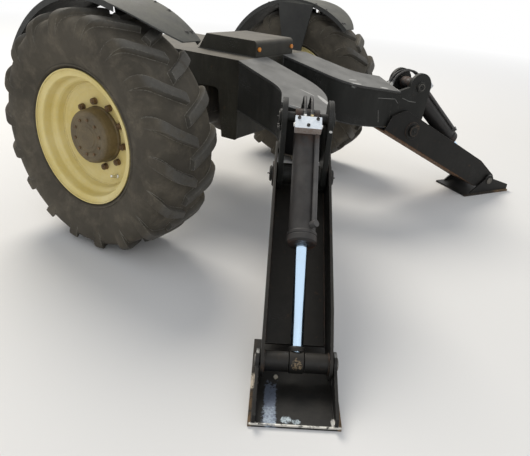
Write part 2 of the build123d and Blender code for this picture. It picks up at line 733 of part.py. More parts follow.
# Axle beam: centre housing, tubes and a yoke at each end for the king pins
with BuildPart() as axle_beam:
    with BuildSketch(Plane(origin=(AXLE_X, 0, WHEEL_Z), x_dir=(0, 1, 0), z_dir=(1, 0, 0))):
        with BuildLine():
            Polyline(
                (0, 0),
                (0, HOUSING_R),
                (HOUSING_HALF_W * 0.4, HOUSING_R * 0.97),
                (HOUSING_HALF_W * 0.75, HOUSING_R * 0.76),
                (HOUSING_HALF_W, AXLE_TUBE_R * 1.1),
                (SADDLE_Y - SADDLE_W / 2 - SADDLE_TAPER_SET, AXLE_TUBE_R),
                (SADDLE_Y + SADDLE_W / 2 + SADDLE_TAPER_SET, AXLE_TUBE_R),
                (KING_Y - YOKE_BACK - 60, AXLE_END_R),
                (KING_Y - YOKE_BACK, YOKE_WEB),
                (KING_Y - YOKE_BACK + 10, YOKE_WEB),
                (KING_Y - YOKE_BACK + 10, 0),
                close=True,
            )
        make_face()
    revolve(axis=Axis((AXLE_X, 0, WHEEL_Z), (0, 1, 0)))
    mirror(about=Plane.XZ)
    for side in (-1, 1):
        with BuildSketch(Plane.XZ.offset(-side * (KING_Y - YOKE_BACK))):
            with Locations((AXLE_X, WHEEL_Z)):
                RectangleRounded(2 * YOKE_WEB, 2 * YOKE_HALF_H, 20)
        extrude(amount=-side * YOKE_WEB_T)
        for level in (-YOKE_HALF_H, YOKE_HALF_H - YOKE_T):
            with BuildSketch(Plane.XY.offset(WHEEL_Z + level)):
                with Locations((AXLE_X, side * (KING_Y - YOKE_BACK / 2))):
                    Rectangle(2 * YOKE_R, YOKE_BACK)
                with Locations((AXLE_X, side * KING_Y)):
                    Circle(YOKE_R)
                    Circle(KING_PIN_R + PIN_CLEAR, mode=Mode.SUBTRACT)
            extrude(amount=YOKE_T)
save(axle_beam, "axle_beam")

# Saddles between the axle tubes and the frame
SADDLE_TOP_Z = FRAME_HIGH_Z
with BuildPart() as axle_saddles:
    with BuildSketch(Plane.XY.offset(WHEEL_Z)):
        with Locations((AXLE_X - SADDLE_SHIFT, -SADDLE_Y), (AXLE_X - SADDLE_SHIFT, SADDLE_Y)):
            RectangleRounded(2 * (AXLE_TUBE_R + SADDLE_LIP), SADDLE_W, SADDLE_R)
    extrude(amount=SADDLE_TOP_Z - WHEEL_Z)
    with BuildSketch(Plane(origin=(AXLE_X, 0, WHEEL_Z), x_dir=(1, 0, 0), z_dir=(0, -1, 0))):
        Circle(AXLE_TUBE_R + STEEL_GAP)
    extrude(amount=KING_Y, both=True, mode=Mode.SUBTRACT)
save(axle_saddles, "axle_saddles")

# Steering cylinder on the back of the axle; its through rod steers both knuckles
STEER_X = AXLE_X - STEER_ARM
STEER_ROD_Z = WHEEL_Z - STEER_ARM_T / 2 - STEER_ROD_R - 2
with BuildPart() as steering_cylinder:
    with BuildSketch(Plane(origin=(STEER_X, 0, STEER_ROD_Z), x_dir=(1, 0, 0), z_dir=(0, -1, 0))):
        Circle(STEER_CYL_R)
    extrude(amount=STEER_CYL_HALF, both=True)
    with BuildSketch(Plane(origin=(STEER_X, 0, STEER_ROD_Z), x_dir=(1, 0, 0), z_dir=(0, -1, 0))):
        Circle(STEER_ROD_R + PIN_CLEAR)
    extrude(amount=KING_Y, both=True, mode=Mode.SUBTRACT)
    lug_start = STEER_X + STEER_CYL_R
    lug_end = AXLE_X - AXLE_TUBE_R + STEER_LUG_ROOT
    for y in (-SADDLE_Y, SADDLE_Y):
        with BuildSketch(Plane.XZ.offset(-y)):
            with Locations(((lug_start + lug_end) / 2, STEER_ROD_Z)):
                Rectangle(lug_end - lug_start, STEER_LUG_H)
        extrude(amount=STEER_LUG_T / 2, both=True)
    with BuildSketch(Plane(origin=(AXLE_X, 0, WHEEL_Z), x_dir=(1, 0, 0), z_dir=(0, -1, 0))):
        Circle(AXLE_TUBE_R + STEEL_GAP)
    extrude(amount=KING_Y, both=True, mode=Mode.SUBTRACT)
save(steering_cylinder, "steering_cylinder")

with BuildPart() as steering_rod:
    with BuildSketch(Plane(origin=(STEER_X, 0, STEER_ROD_Z), x_dir=(1, 0, 0), z_dir=(0, -1, 0))):
        Circle(STEER_ROD_R)
    extrude(amount=KING_Y - STEER_EYE_BACK, both=True)
    with BuildSketch(Plane.XY.offset(STEER_ROD_Z - STEER_ROD_R)):
        with Locations((STEER_X, STEER_EYE_BACK - KING_Y), (STEER_X, KING_Y - STEER_EYE_BACK)):
            Circle(STEER_EYE_R)
    extrude(amount=2 * STEER_ROD_R)
save(steering_rod, "steering_rod")

# Knuckles: king pins, swivel housing, spindle flange, steering arm
for name, side in SIDES:
    with BuildPart() as knuckle:
        half_knuckle = YOKE_HALF_H - YOKE_T - KNUCKLE_GAP
        with BuildSketch(Plane.XY.offset(WHEEL_Z - half_knuckle)):
            with Locations((AXLE_X, side * KING_Y)):
                Circle(KNUCKLE_R)
        extrude(amount=2 * half_knuckle)
        with BuildSketch(Plane.XY.offset(WHEEL_Z - YOKE_HALF_H - KING_PIN_CAP)):
            with Locations((AXLE_X, side * KING_Y)):
                Circle(KING_PIN_R)
        extrude(amount=2 * (YOKE_HALF_H + KING_PIN_CAP))
        with BuildSketch(Plane.XZ.offset(-side * (KING_Y + SPINDLE_NECK_SET))):
            with Locations((AXLE_X, WHEEL_Z)):
                Circle(SPINDLE_NECK_R)
        with BuildSketch(Plane.XZ.offset(-side * (SPINDLE_FACE_Y - SPINDLE_FLANGE))):
            with Locations((AXLE_X, WHEEL_Z)):
                Circle(SPINDLE_R)
        loft()
        with BuildSketch(Plane.XZ.offset(-side * (SPINDLE_FACE_Y - SPINDLE_FLANGE))):
            with Locations((AXLE_X, WHEEL_Z)):
                Circle(SPINDLE_R)
        extrude(amount=-side * SPINDLE_FLANGE)
        with BuildSketch(Plane.XY.offset(WHEEL_Z - STEER_ARM_T / 2)):
            with BuildLine():
                Polyline(
                    (AXLE_X, side * (KING_Y - 10)),
                    (STEER_X, side * (KING_Y - 50)),
                    (STEER_X, side * (KING_Y - 2)),
                    (AXLE_X, side * (KING_Y + 60)),
                    close=True,
                )
            make_face()
            with Locations((STEER_X, side * (KING_Y - STEER_EYE_BACK))):
                Circle(STEER_EYE_R + 2)
        extrude(amount=STEER_ARM_T)
    save(knuckle, f"knuckle_{name}")

# Mudguards: a curved sheet with turned-down edges, its front outer corner cut back in an arc, on a bracket
# that stands on the king pin's cap
BRACKET_Z = WHEEL_Z + YOKE_HALF_H + KING_PIN_CAP
for name, side in SIDES:
    with BuildPart() as mudguard:
        # table of bands: inner edge, width and how far in from the sheet each goes
        for inner_y, width, depth in (
            (GUARD_INNER_Y, GUARD_OUTER_Y - GUARD_INNER_Y, 0),
            (GUARD_INNER_Y, GUARD_T, GUARD_LIP),
            (GUARD_OUTER_Y - GUARD_T, GUARD_T, GUARD_LIP),
        ):
            with BuildSketch(Plane.XZ.offset(-side * inner_y)):
                with BuildLine():
                    sweep_deg = GUARD_REAR_DEG - GUARD_FRONT_DEG
                    inner = CenterArc((AXLE_X, WHEEL_Z), GUARD_R - depth, GUARD_FRONT_DEG, sweep_deg)
                    outer = CenterArc((AXLE_X, WHEEL_Z), GUARD_R + GUARD_T, GUARD_FRONT_DEG, sweep_deg)
                    Line(inner @ 0, outer @ 0)
                    Line(inner @ 1, outer @ 1)
                make_face()
            extrude(amount=-side * width)
        with BuildSketch(Plane.XY.offset(WHEEL_Z)):
            with BuildLine():
                corner = [
                    (AXLE_X + GUARD_CUT_START, side * (GUARD_OUTER_Y + GUARD_T)),
                    (AXLE_X + GUARD_CUT_MIDDLE, side * (GUARD_OUTER_Y - GUARD_CUT_DEPTH)),
                    (AXLE_X + GUARD_CUT_END, side * GUARD_TIP_Y),
                ]
                ThreePointArc(*corner)
                Polyline(
                    corner[2],
                    (AXLE_X + GUARD_R, side * GUARD_TIP_Y),
                    (AXLE_X + GUARD_R, side * (GUARD_OUTER_Y + GUARD_T)),
                    corner[0],
                )
            make_face()
        extrude(amount=GUARD_R + 2 * GUARD_T, mode=Mode.SUBTRACT)
        with BuildSketch(Plane.XZ.offset(-side * (GUARD_INNER_Y - GUARD_BRACKET_T))):
            with BuildLine():
                Polyline(
                    (AXLE_X - GUARD_BRACKET_HALF, BRACKET_Z),
                    (AXLE_X + GUARD_BRACKET_HALF, BRACKET_Z),
                    (AXLE_X + GUARD_BRACKET_SPREAD, WHEEL_Z + GUARD_R - GUARD_LIP),
                    (AXLE_X - GUARD_BRACKET_SPREAD, WHEEL_Z + GUARD_R - GUARD_LIP),
                    close=True,
                )
            make_face()
        extrude(amount=-side * GUARD_BRACKET_T)
        with BuildSketch(Plane.XY.offset(BRACKET_Z)):
            with Locations((AXLE_X, side * KING_Y)):
                Circle(GUARD_BRACKET_HALF)
            with Locations((AXLE_X, side * (GUARD_INNER_Y + KING_Y - GUARD_BRACKET_T) / 2)):
                Rectangle(2 * GUARD_BRACKET_HALF, KING_Y - GUARD_INNER_Y + GUARD_BRACKET_T)
        extrude(amount=GUARD_BRACKET_T)
    save(mudguard, f"mudguard_{name}")

# Wheels
HALF_TYRE = TYRE_W / 2
for name, side in SIDES:
    wheel_mid = Plane(origin=(AXLE_X, side * TRACK_HALF, WHEEL_Z), x_dir=(0, side, 0), z_dir=(side, 0, 0))
    spin = Axis((AXLE_X, side * TRACK_HALF, WHEEL_Z), (0, 1, 0))

    with BuildPart() as lugs:
        for hand in (-1, 1):
            turn = hand
            for number in range(TREAD_COUNT):
                angle = radians((number + (0.25 if hand > 0 else 0.75)) * 360 / TREAD_COUNT)
                root = TYRE_BASE_R - TREAD_ROOT
                lug_plane = Plane(
                    origin=(AXLE_X + root * sin(angle), side * TRACK_HALF, WHEEL_Z - root * cos(angle)),
                    x_dir=(0, hand, 0),
                    z_dir=(sin(angle), 0, -cos(angle)),
                )
                with BuildSketch(lug_plane):
                    with BuildLine():
                        Polyline(
                            (-TREAD_OVER_MIDDLE, 0),
                            (TREAD_BEND, turn * TREAD_BEND_SWEEP),
                            (HALF_TYRE, turn * (TREAD_SWEEP - TREAD_FLARE)),
                            (HALF_TYRE, turn * (TREAD_SWEEP + TREAD_W + TREAD_FLARE)),
                            (TREAD_BEND, turn * (TREAD_BEND_SWEEP + TREAD_W)),
                            (-TREAD_OVER_MIDDLE, turn * TREAD_W),
                            close=True,
                        )
                    make_face()
                extrude(amount=TYRE_R - root + 20)
        with BuildSketch(wheel_mid):
            with BuildLine():
                Polyline(
                    (-HALF_TYRE + TYRE_SHOULDER_IN, TYRE_BASE_R - TREAD_DEPTH_OUT),
                    (-HALF_TYRE + TREAD_SIDE_IN, TYRE_BASE_R - TREAD_SIDE_DROP),
                    (-HALF_TYRE + TREAD_EDGE_IN, TYRE_R - TREAD_EDGE_DROP),
                    (-HALF_TYRE + TREAD_TOP_IN, TYRE_R),
                    (HALF_TYRE - TREAD_TOP_IN, TYRE_R),
                    (HALF_TYRE - TREAD_EDGE_IN, TYRE_R - TREAD_EDGE_DROP),
                    (HALF_TYRE - TREAD_SIDE_IN, TYRE_BASE_R - TREAD_SIDE_DROP),
                    (HALF_TYRE - TYRE_SHOULDER_IN, TYRE_BASE_R - TREAD_DEPTH_OUT),
                    close=True,
                )
            make_face()
        revolve(axis=spin, mode=Mode.INTERSECT)

    with BuildPart() as tyre:
        with BuildSketch(wheel_mid):
            with BuildLine():
                Polyline(
                    (RIM_HALF_W - TYRE_BEAD_SET, RIM_SEAT_R + STEEL_GAP),
                    (RIM_HALF_W - TYRE_BEAD_TOP, RIM_FLANGE_R + TYRE_BEAD_TOP),
                    (HALF_TYRE - TYRE_FLANK_IN, TYRE_SIDE_R - TYRE_FLANK_DROP),
                    (HALF_TYRE, TYRE_SIDE_R),
                    (HALF_TYRE - TYRE_SHOULDER_IN, TYRE_BASE_R - TYRE_SHOULDER_DROP),
                    (HALF_TYRE - TYRE_CROWN_IN, TYRE_BASE_R - TYRE_CROWN_DROP),
                    (0, TYRE_BASE_R + TYRE_CROWN_RISE),
                    (-HALF_TYRE + TYRE_CROWN_IN, TYRE_BASE_R - TYRE_CROWN_DROP),
                    (-HALF_TYRE + TYRE_SHOULDER_IN, TYRE_BASE_R - TYRE_SHOULDER_DROP),
                    (-HALF_TYRE, TYRE_SIDE_R),
                    (-HALF_TYRE + TYRE_FLANK_IN, TYRE_SIDE_R - TYRE_FLANK_DROP),
                    (-RIM_HALF_W + TYRE_BEAD_TOP, RIM_FLANGE_R + TYRE_BEAD_TOP),
                    (-RIM_HALF_W + TYRE_BEAD_SET, RIM_SEAT_R + STEEL_GAP),
                    (-RIM_HALF_W + TYRE_BEAD_SET + TYRE_SKIN, RIM_SEAT_R + STEEL_GAP),
                    (-HALF_TYRE + TYRE_SKIN, TYRE_SIDE_R),
                    (-HALF_TYRE + TYRE_BELT_IN, TYRE_BASE_R - TYRE_BELT),
                    (HALF_TYRE - TYRE_BELT_IN, TYRE_BASE_R - TYRE_BELT),
                    (HALF_TYRE - TYRE_SKIN, TYRE_SIDE_R),
                    (RIM_HALF_W - TYRE_BEAD_SET - TYRE_SKIN, RIM_SEAT_R + STEEL_GAP),
                    close=True,
                )
            make_face()
        revolve(axis=spin)
        add(lugs.part)
    save(tyre, f"tyre_{name}")

    with BuildPart() as rim:
        with BuildSketch(wheel_mid):
            with BuildLine():
                Polyline(
                    (RIM_HALF_W + RIM_LIP, RIM_FLANGE_R),
                    (RIM_HALF_W + RIM_LIP - RIM_LIP_T, RIM_FLANGE_R),
                    (RIM_HALF_W - RIM_SEAT_SET, RIM_SEAT_R),
                    (RIM_HALF_W - RIM_SEAT_W, RIM_SEAT_R - RIM_SEAT_FALL),
                    (RIM_HALF_W - RIM_WELL_OUT, RIM_WELL_R + RIM_SKIN),
                    (-RIM_HALF_W + RIM_WELL_IN, RIM_WELL_R + RIM_SKIN),
                    (-RIM_HALF_W + RIM_SEAT_W, RIM_SEAT_R - RIM_SEAT_FALL),
                    (-RIM_HALF_W + RIM_SEAT_SET, RIM_SEAT_R),
                    (-RIM_HALF_W - RIM_LIP + RIM_LIP_T, RIM_FLANGE_R),
                    (-RIM_HALF_W - RIM_LIP, RIM_FLANGE_R),
                    (-RIM_HALF_W - RIM_LIP / 2, RIM_SEAT_R - RIM_SKIN),
                    (-RIM_HALF_W + RIM_SEAT_W, RIM_SEAT_R - RIM_SEAT_FALL - RIM_SKIN),
                    (-RIM_HALF_W + RIM_WELL_IN, RIM_WELL_R),
                    (RIM_HALF_W - RIM_WELL_OUT - RIM_FOLD, RIM_WELL_R),
                    (RIM_HALF_W - RIM_SEAT_W - RIM_SEAT_FOLD, RIM_SEAT_R - RIM_SEAT_FALL - RIM_SKIN),
                    (RIM_HALF_W + RIM_LIP / 2, RIM_SEAT_R - RIM_SKIN),
                    close=True,
                )
            make_face()
        revolve(axis=spin)
        with BuildSketch(wheel_mid):
            with BuildLine():
                Polyline(
                    (DISC_OUT, HUB_R + STEEL_GAP),
                    (DISC_OUT, DISC_R),
                    (DISC_OUT + DISC_RISE, RIM_WELL_R + DISC_ROOT),
                    (DISC_OUT + DISC_RISE - DISC_T, RIM_WELL_R + DISC_ROOT),
                    (DISC_OUT - DISC_T, DISC_R + DISC_FOLD),
                    (DISC_OUT - DISC_T, HUB_R + STEEL_GAP),
                    close=True,
                )
            make_face()
        revolve(axis=spin)
    save(rim, f"rim_{name}")

    with BuildPart() as hub:
        with BuildSketch(wheel_mid):
            with BuildLine():
                Polyline(
                    (SPINDLE_FACE_Y + STEEL_GAP - TRACK_HALF, 0),
                    (SPINDLE_FACE_Y + STEEL_GAP - TRACK_HALF, HUB_FLANGE_R - HUB_BACK_SET),
                    (DISC_OUT - DISC_T - HUB_FLANGE_T, HUB_FLANGE_R),
                    (DISC_OUT - DISC_T, HUB_FLANGE_R),
                    (DISC_OUT - DISC_T, HUB_R),
                    (HUB_OUT - HUB_EDGE, HUB_R),
                    (HUB_OUT - HUB_CAP_T, HUB_R - HUB_EDGE_IN),
                    (HUB_OUT - HUB_CAP_T, HUB_CAP_R + HUB_CAP_T),
                    (HUB_OUT, HUB_CAP_R),
                    (HUB_OUT, 0),
                    close=True,
                )
            make_face()
        revolve(axis=spin)
    save(hub, f"hub_{name}")

    with BuildPart() as wheel_nuts:
        nut_plane = Plane(
            origin=(AXLE_X, side * (TRACK_HALF + DISC_OUT), WHEEL_Z), x_dir=(1, 0, 0), z_dir=(0, side, 0)
        )
        with BuildSketch(nut_plane):
            with PolarLocations(NUT_CIRCLE_R, NUT_COUNT, start_angle=-side * NUT_START_DEG):
                RegularPolygon(NUT_R, 6)
        extrude(amount=NUT_OUT)
    save(wheel_nuts, f"wheel_nuts_{name}")

print("leg drop", round(LEG_DROP, 2), "cylinder", round(CYL_LENGTH, 1), "axle x", round(AXLE_X, 1))
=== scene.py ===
"""Visual model of a telehandler's front axle with its stabilisers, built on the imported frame.

Metres, +X forward, +Y left, +Z up. Profiles that go through mm() or lathe() are written in millimetres.
"""

import json
import random
from contextlib import contextmanager
from math import asin, cos, pi, radians, sin, tan

import bmesh
import bpy
from mathutils import Matrix, Vector, noise


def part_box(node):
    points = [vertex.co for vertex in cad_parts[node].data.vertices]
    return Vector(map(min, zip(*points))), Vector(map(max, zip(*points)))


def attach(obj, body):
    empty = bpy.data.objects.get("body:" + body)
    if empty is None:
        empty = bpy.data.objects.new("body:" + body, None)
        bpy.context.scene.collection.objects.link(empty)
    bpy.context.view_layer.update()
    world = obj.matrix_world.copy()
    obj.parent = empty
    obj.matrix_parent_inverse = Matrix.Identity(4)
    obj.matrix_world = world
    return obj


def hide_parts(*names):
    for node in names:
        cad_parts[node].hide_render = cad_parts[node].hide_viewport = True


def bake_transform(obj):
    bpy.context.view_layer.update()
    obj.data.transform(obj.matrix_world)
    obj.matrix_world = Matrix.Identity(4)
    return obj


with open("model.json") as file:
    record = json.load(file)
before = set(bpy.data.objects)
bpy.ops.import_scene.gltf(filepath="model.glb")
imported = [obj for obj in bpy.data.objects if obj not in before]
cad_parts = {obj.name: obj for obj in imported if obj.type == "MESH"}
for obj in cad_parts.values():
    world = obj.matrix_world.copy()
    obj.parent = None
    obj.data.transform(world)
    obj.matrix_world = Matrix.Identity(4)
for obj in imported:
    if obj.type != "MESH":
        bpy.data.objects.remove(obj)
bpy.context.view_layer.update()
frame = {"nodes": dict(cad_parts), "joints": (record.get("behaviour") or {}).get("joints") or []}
nodes = frame["nodes"]
joints = {joint["name"]: joint for joint in frame["joints"]}

SIDES = (("right", -1), ("left", 1))
UP = Vector((0, 0, 1))
SPLAY = radians(31.6)
AXLE_X, TRACK, WHEEL_Z = Vector(joints["spin_left"]["pos_m"])
KING_Y = joints["steer_left"]["pos_m"][1]
LEG_PIN = Vector(joints["leg_left"]["pos_m"])
CYL_PIN = Vector(joints["barrel_left"]["pos_m"])
FOOT_PIN = Vector(joints["foot_left"]["pos_m"])
CYL_AXIS = Vector(joints["rod_left"]["axis"]).normalized()
CYL_LENGTH = (FOOT_PIN - CYL_PIN).length
LEG_AXIS = (FOOT_PIN - LEG_PIN).normalized()
LEG_LENGTH = (FOOT_PIN - LEG_PIN).length
LEG_REACH = (FOOT_PIN.xy - LEG_PIN.xy).length
LEG_DROP = asin((LEG_PIN.z - FOOT_PIN.z) / LEG_LENGTH)

FRAME_FRONT_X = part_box("frame_front")[1].x
ARM_HALF = 0.117
ARM_TOP, ARM_TOP_SLOPE = 0.952, 0.247
ARM_LOW, ARM_LOW_SLOPE = 0.684, 0.19
ARM_PLATE = 0.012
ARM_LIP = 0.006
ARM_END_U = -0.150
# each long edge of an arm in plan: side of the arm, y at the frame, y at the bend, radius of the bend
ARM_EDGES = ((-1, 0.368, 0.444, 0.200), (1, 0.096, 0.157, 0.300))


# Places


def arm_top(x):
    return ARM_TOP - ARM_TOP_SLOPE * (x - FRAME_FRONT_X)


def arm_low(x):
    return ARM_LOW - ARM_LOW_SLOPE * (x - FRAME_FRONT_X)


def mirrored(point, side):
    """A point of the left side, on the given side."""
    return Vector((point[0], side * point[1], point[2]))


def out_of(side):
    """Outward along a leg, level."""
    return mirrored((sin(SPLAY), cos(SPLAY), 0), side)


def across_of(side):
    """Forward across a leg."""
    return mirrored((cos(SPLAY), -sin(SPLAY), 0), side)


def leg_point(side, u, z, v=0.0):
    """A point of a leg's plane: u out from the leg pin, z above the ground, v forward across the leg."""
    x = LEG_PIN.x + u * sin(SPLAY) + v * cos(SPLAY)
    y = LEG_PIN.y + u * cos(SPLAY) - v * sin(SPLAY)
    return mirrored((x, y, z), side)


def line_axes(side, line):
    """Along a leg's or a cylinder's line, forward across it, and up from it."""
    along = mirrored(line, side)
    return along, across_of(side), (UP - along * along.z).normalized()


def on_line(side, pin, line, s, v, n):
    """A point s along a line from its pin, v forward across it and n up from it."""
    along, across, up = line_axes(side, line)
    return mirrored(pin, side) + along * s + across * v + up * n


def on_cylinder(side, s=0.0, v=0.0, n=0.0):
    return on_line(side, CYL_PIN, CYL_AXIS, s, v, n)


def on_leg(side, s, v, n=0.0):
    return on_line(side, LEG_PIN, LEG_AXIS, s, v, n)


def placed(name, data):
    """A new object in the scene."""
    obj = bpy.data.objects.new(name, data)
    bpy.context.scene.collection.objects.link(obj)
    return obj


# Camera, fitted to the photograph

PHOTO_WIDTH, PHOTO_HEIGHT = 530, 456
FOCAL_PIXELS = 526.0
LENS_MIDDLE = (292.2, 224.9)
CAMERA_PLACE = Vector((1.592, -2.828, 1.4145))
yaw, pitch, roll = radians(118.62), radians(-25.29), radians(5.58)
ahead = Vector((cos(yaw) * cos(pitch), sin(yaw) * cos(pitch), sin(pitch)))
level = Vector((sin(yaw), -cos(yaw), 0))
above = level.cross(ahead)
right = level * cos(roll) + above * sin(roll)
top = above * cos(roll) - level * sin(roll)
camera_data = bpy.data.cameras.new("camera")
camera_data.sensor_fit = "HORIZONTAL"
camera_data.sensor_width = 36
camera_data.lens = FOCAL_PIXELS / PHOTO_WIDTH * 36
camera_data.shift_x = (PHOTO_WIDTH / 2 - LENS_MIDDLE[0]) / PHOTO_WIDTH
camera_data.shift_y = (LENS_MIDDLE[1] - PHOTO_HEIGHT / 2) / PHOTO_WIDTH
camera_data.clip_end = 300
camera = placed("camera", camera_data)
camera.matrix_world = Matrix.Translation(CAMERA_PLACE) @ Matrix((right, top, -ahead)).transposed().to_4x4()
bpy.context.scene.camera = camera


# Material toolkit


def feed(tree, socket, value):
    """Gives an input a value, which is a number, a tuple, a Value or another node's output."""
    if isinstance(value, Value):
        value = value.socket
    if isinstance(value, bpy.types.NodeSocket):
        tree.links.new(value, socket)
    elif isinstance(value, tuple) and len(value) == 3 and socket.type == "RGBA":
        socket.default_value = (*value, 1)
    else:
        socket.default_value = value


def wire(tree, kind, inputs=(), **settings):
    """A new shader node with its settings and inputs."""
    made = tree.nodes.new("ShaderNode" + kind)
    for key, value in settings.items():
        setattr(made, key, value)
    for key, value in dict(inputs).items():
        feed(tree, made.inputs[key], value)
    return made


def shade(tone, share):
    return tuple(c * share for c in tone)


class Value:
    """A number that varies over a surface, with the sums that the paints make of it."""

    def __init__(self, paint, socket):
        self.paint = paint
        self.socket = socket

    def __mul__(self, other):
        return self.paint.calc("MULTIPLY", self, other)

    def __add__(self, other):
        return self.paint.calc("ADD", self, other)

    def __sub__(self, other):
        return self.paint.calc("SUBTRACT", self, other)

    def __rsub__(self, other):
        return self.paint.calc("SUBTRACT", other, self)

    def __abs__(self):
        return self.paint.calc("ABSOLUTE", self)

    def __or__(self, other):
        """The larger of the two, held between 0 and 1."""
        return self.paint.calc("MAXIMUM", self, other, True)

    def fit(self, low, high, start=0.0, end=1.0):
        """Goes from start to end while this goes from low to high, and holds there."""
        ranges = {"Value": self, "From Min": low, "From Max": high, "To Min": start, "To Max": end}
        return self.paint.value("MapRange", "Result", ranges, clamp=True)


class Paint:
    """One procedural material: a Principled shader and short calls that add nodes to it."""

    def __init__(self, name, **sockets):
        self.material = bpy.data.materials.new(name)
        self.material.use_nodes = True
        self.tree = self.material.node_tree
        self.shader = next(n for n in self.tree.nodes if n.type == "BSDF_PRINCIPLED")
        coordinates = self.node("TexCoord")
        self.place = coordinates.outputs["Object"]
        self.facing = coordinates.outputs["Normal"]
        self.colour = None
        self.leg_place = None
        self.set(**sockets)

    def set(self, **sockets):
        for key, value in sockets.items():
            socket = key.replace("_", " ").title().replace("Ior", "IOR")
            feed(self.tree, self.shader.inputs[socket], value)

    def node(self, kind, inputs=(), **settings):
        return wire(self.tree, kind, inputs, **settings)

    def value(self, kind, output, inputs=(), **settings):
        return Value(self, self.node(kind, inputs, **settings).outputs[output])

    def calc(self, operation, a, b=0.0, clamp=False):
        return self.value("Math", 0, {0: a, 1: b}, operation=operation, use_clamp=clamp)

    def vector(self, operation, a, b):
        return self.node("VectorMath", {0: a, 1: b}, operation=operation).outputs["Vector"]

    def length(self, vector):
        return self.value("VectorMath", "Value", {0: vector}, operation="LENGTH")

    def axes(self, source=None):
        """The three numbers of a place or direction."""
        made = self.node("SeparateXYZ", {"Vector": source or self.place})
        return [Value(self, socket) for socket in made.outputs]

    def stretched(self, scale, turn=(0, 0, 0)):
        inputs = {"Vector": self.place, "Scale": scale, "Rotation": turn}
        return self.node("Mapping", inputs).outputs["Vector"]

    def noise(self, scale, detail=6.0, rough=0.6, twist=0.0, at=None):
        grain = {"Scale": scale, "Detail": detail, "Roughness": rough, "Distortion": twist}
        return self.value("TexNoise", 0, {"Vector": at or self.place, **grain})

    def mix(self, factor, a, b):
        """Mixes two colours."""
        return self.node("Mix", {0: factor, 6: a, 7: b}, data_type="RGBA").outputs[2]

    def blend(self, factor, a, b):
        """Mixes two numbers."""
        return self.value("Mix", 0, {0: factor, 2: a, 3: b}, data_type="FLOAT")

    def coat(self, factor, tone):
        """Lays a colour over the paint's colour so far."""
        self.colour = self.mix(factor, self.colour, tone)

    def upward(self, low=0.35, high=0.95):
        """1 where the surface faces up at rest."""
        return self.axes(self.facing)[2].fit(low, high)

    def edges(self, radius, low=0.03, high=0.35):
        """1 on outward edges and in corners."""
        soft = self.node("Bevel", {"Radius": radius}, samples=4).outputs["Normal"]
        plain = self.node("NewGeometry").outputs["Normal"]
        alike = self.value("VectorMath", "Value", {0: soft, 1: plain}, operation="DOT_PRODUCT")
        return (1.0 - alike).fit(low, high)

    def leg_frame(self):
        """Place in a leg's plane, alike on both sides: out from the leg pin, forward across it, up."""
        if self.leg_place is None:
            x, y, z = self.axes()
            x = x - LEG_PIN.x
            y = abs(y) - LEG_PIN.y
            out = x * sin(SPLAY) + y * cos(SPLAY)
            across = x * cos(SPLAY) - y * sin(SPLAY)
            self.leg_place = self.node("CombineXYZ", {"X": out, "Y": across, "Z": z}).outputs["Vector"]
        return self.leg_place

    def spot(self, ragged, side, middle, half, turn=0, holes=0.34, square=False):
        """1 inside an ellipsoid or box of a leg's plane, turned in plan, with ragged edges and holes.

        Side 1 or -1 keeps it to the left or right.
        """
        away = self.vector("SUBTRACT", self.leg_frame(), middle)
        if turn:
            angle = {"Vector": away, "Angle": -radians(turn)}
            away = self.node("VectorRotate", angle, rotation_type="Z_AXIS").outputs["Vector"]
        share = self.vector("DIVIDE", away, half)
        if square:
            a, b, c = [abs(size) for size in self.axes(share)]
            far = self.calc("MAXIMUM", self.calc("MAXIMUM", a, b), c)
        else:
            far = self.length(share)
        grain = 1.6 / min(half[:2])
        far = far + (self.noise(grain, 8, 0.75) - 0.5) * ragged
        inside = far.fit(1.08, 0.92) * self.noise(grain * 1.7, 8, 0.75).fit(holes, holes + 0.08)
        if side:
            inside = inside * self.calc("GREATER_THAN", self.axes()[1] * side, 0.0)
        return inside

    def lay_marks(self, marks, fine, dark, ragged):
        """Lays bare marks over the colour, and gives 1 where they are."""
        bare = None
        for tone, *where in marks:
            patch = self.spot(ragged, *where)
            self.coat(patch, self.mix(fine, shade(tone, dark), tone))
            bare = bare | patch if bare else patch
        return bare

    def done(self, rough, height, distance, strength, metallic=None):
        """Sets the shader's colour, roughness and bump, and its metal where given."""
        bump = {"Height": height, "Distance": distance, "Strength": strength}
        self.set(base_color=self.colour, roughness=rough, normal=self.node("Bump", bump).outputs["Normal"])
        if metallic:
            self.set(metallic=metallic)
        return self.material


# Placed marks: bare colour, side (0 is both), middle and half sizes in a leg's plane (out, forward, up),
# then where given the turn in plan, how much is left out in holes, and True for a box
PALE = (0.62, 0.61, 0.58)
SCUFF = (0.24, 0.24, 0.23)
RUST_LIGHT = (0.30, 0.22, 0.13)
STEEL_DARK = (0.20, 0.235, 0.31)
STEEL_PALE = (0.50, 0.58, 0.63)
PLATE_MARKS = (
    (PALE, -1, (-0.365, 0.102, 0.83), (0.062, 0.015, 0.10), 30),
    (PALE, -1, (-0.412, 0.012, 0.86), (0.044, 0.0035, 0.06), 63),
    (PALE, 0, (-0.149, 0.0, 0.82), (0.0065, 0.118, 0.04)),
    (PALE, 1, (-0.475, 0.042, 0.86), (0.033, 0.0065, 0.06), -10),
    (PALE, 1, (-0.484, 0.100, 0.86), (0.038, 0.0085, 0.06), 2),
    (PALE, 1, (-0.265, 0.100, 0.84), (0.032, 0.010, 0.10)),
)
ARM_MARKS = (
    (SCUFF, 1, (-0.512, 0.117, 0.838), (0.030, 0.02, 0.020)),
    (SCUFF, 1, (-0.274, 0.117, 0.826), (0.022, 0.02, 0.007)),
    # a light brown line along the arm's lower edge: a painted highlight where the edge catches light
    (RUST_LIGHT, 0, (-0.310, 0.117, 0.572), (0.19, 0.02, 0.004)),
)
LUG_MARKS = (
    ((0.80, 0.79, 0.76), -1, (0.095, 0.107, 0.793), (0.040, 0.0075, 0.0065)),
)
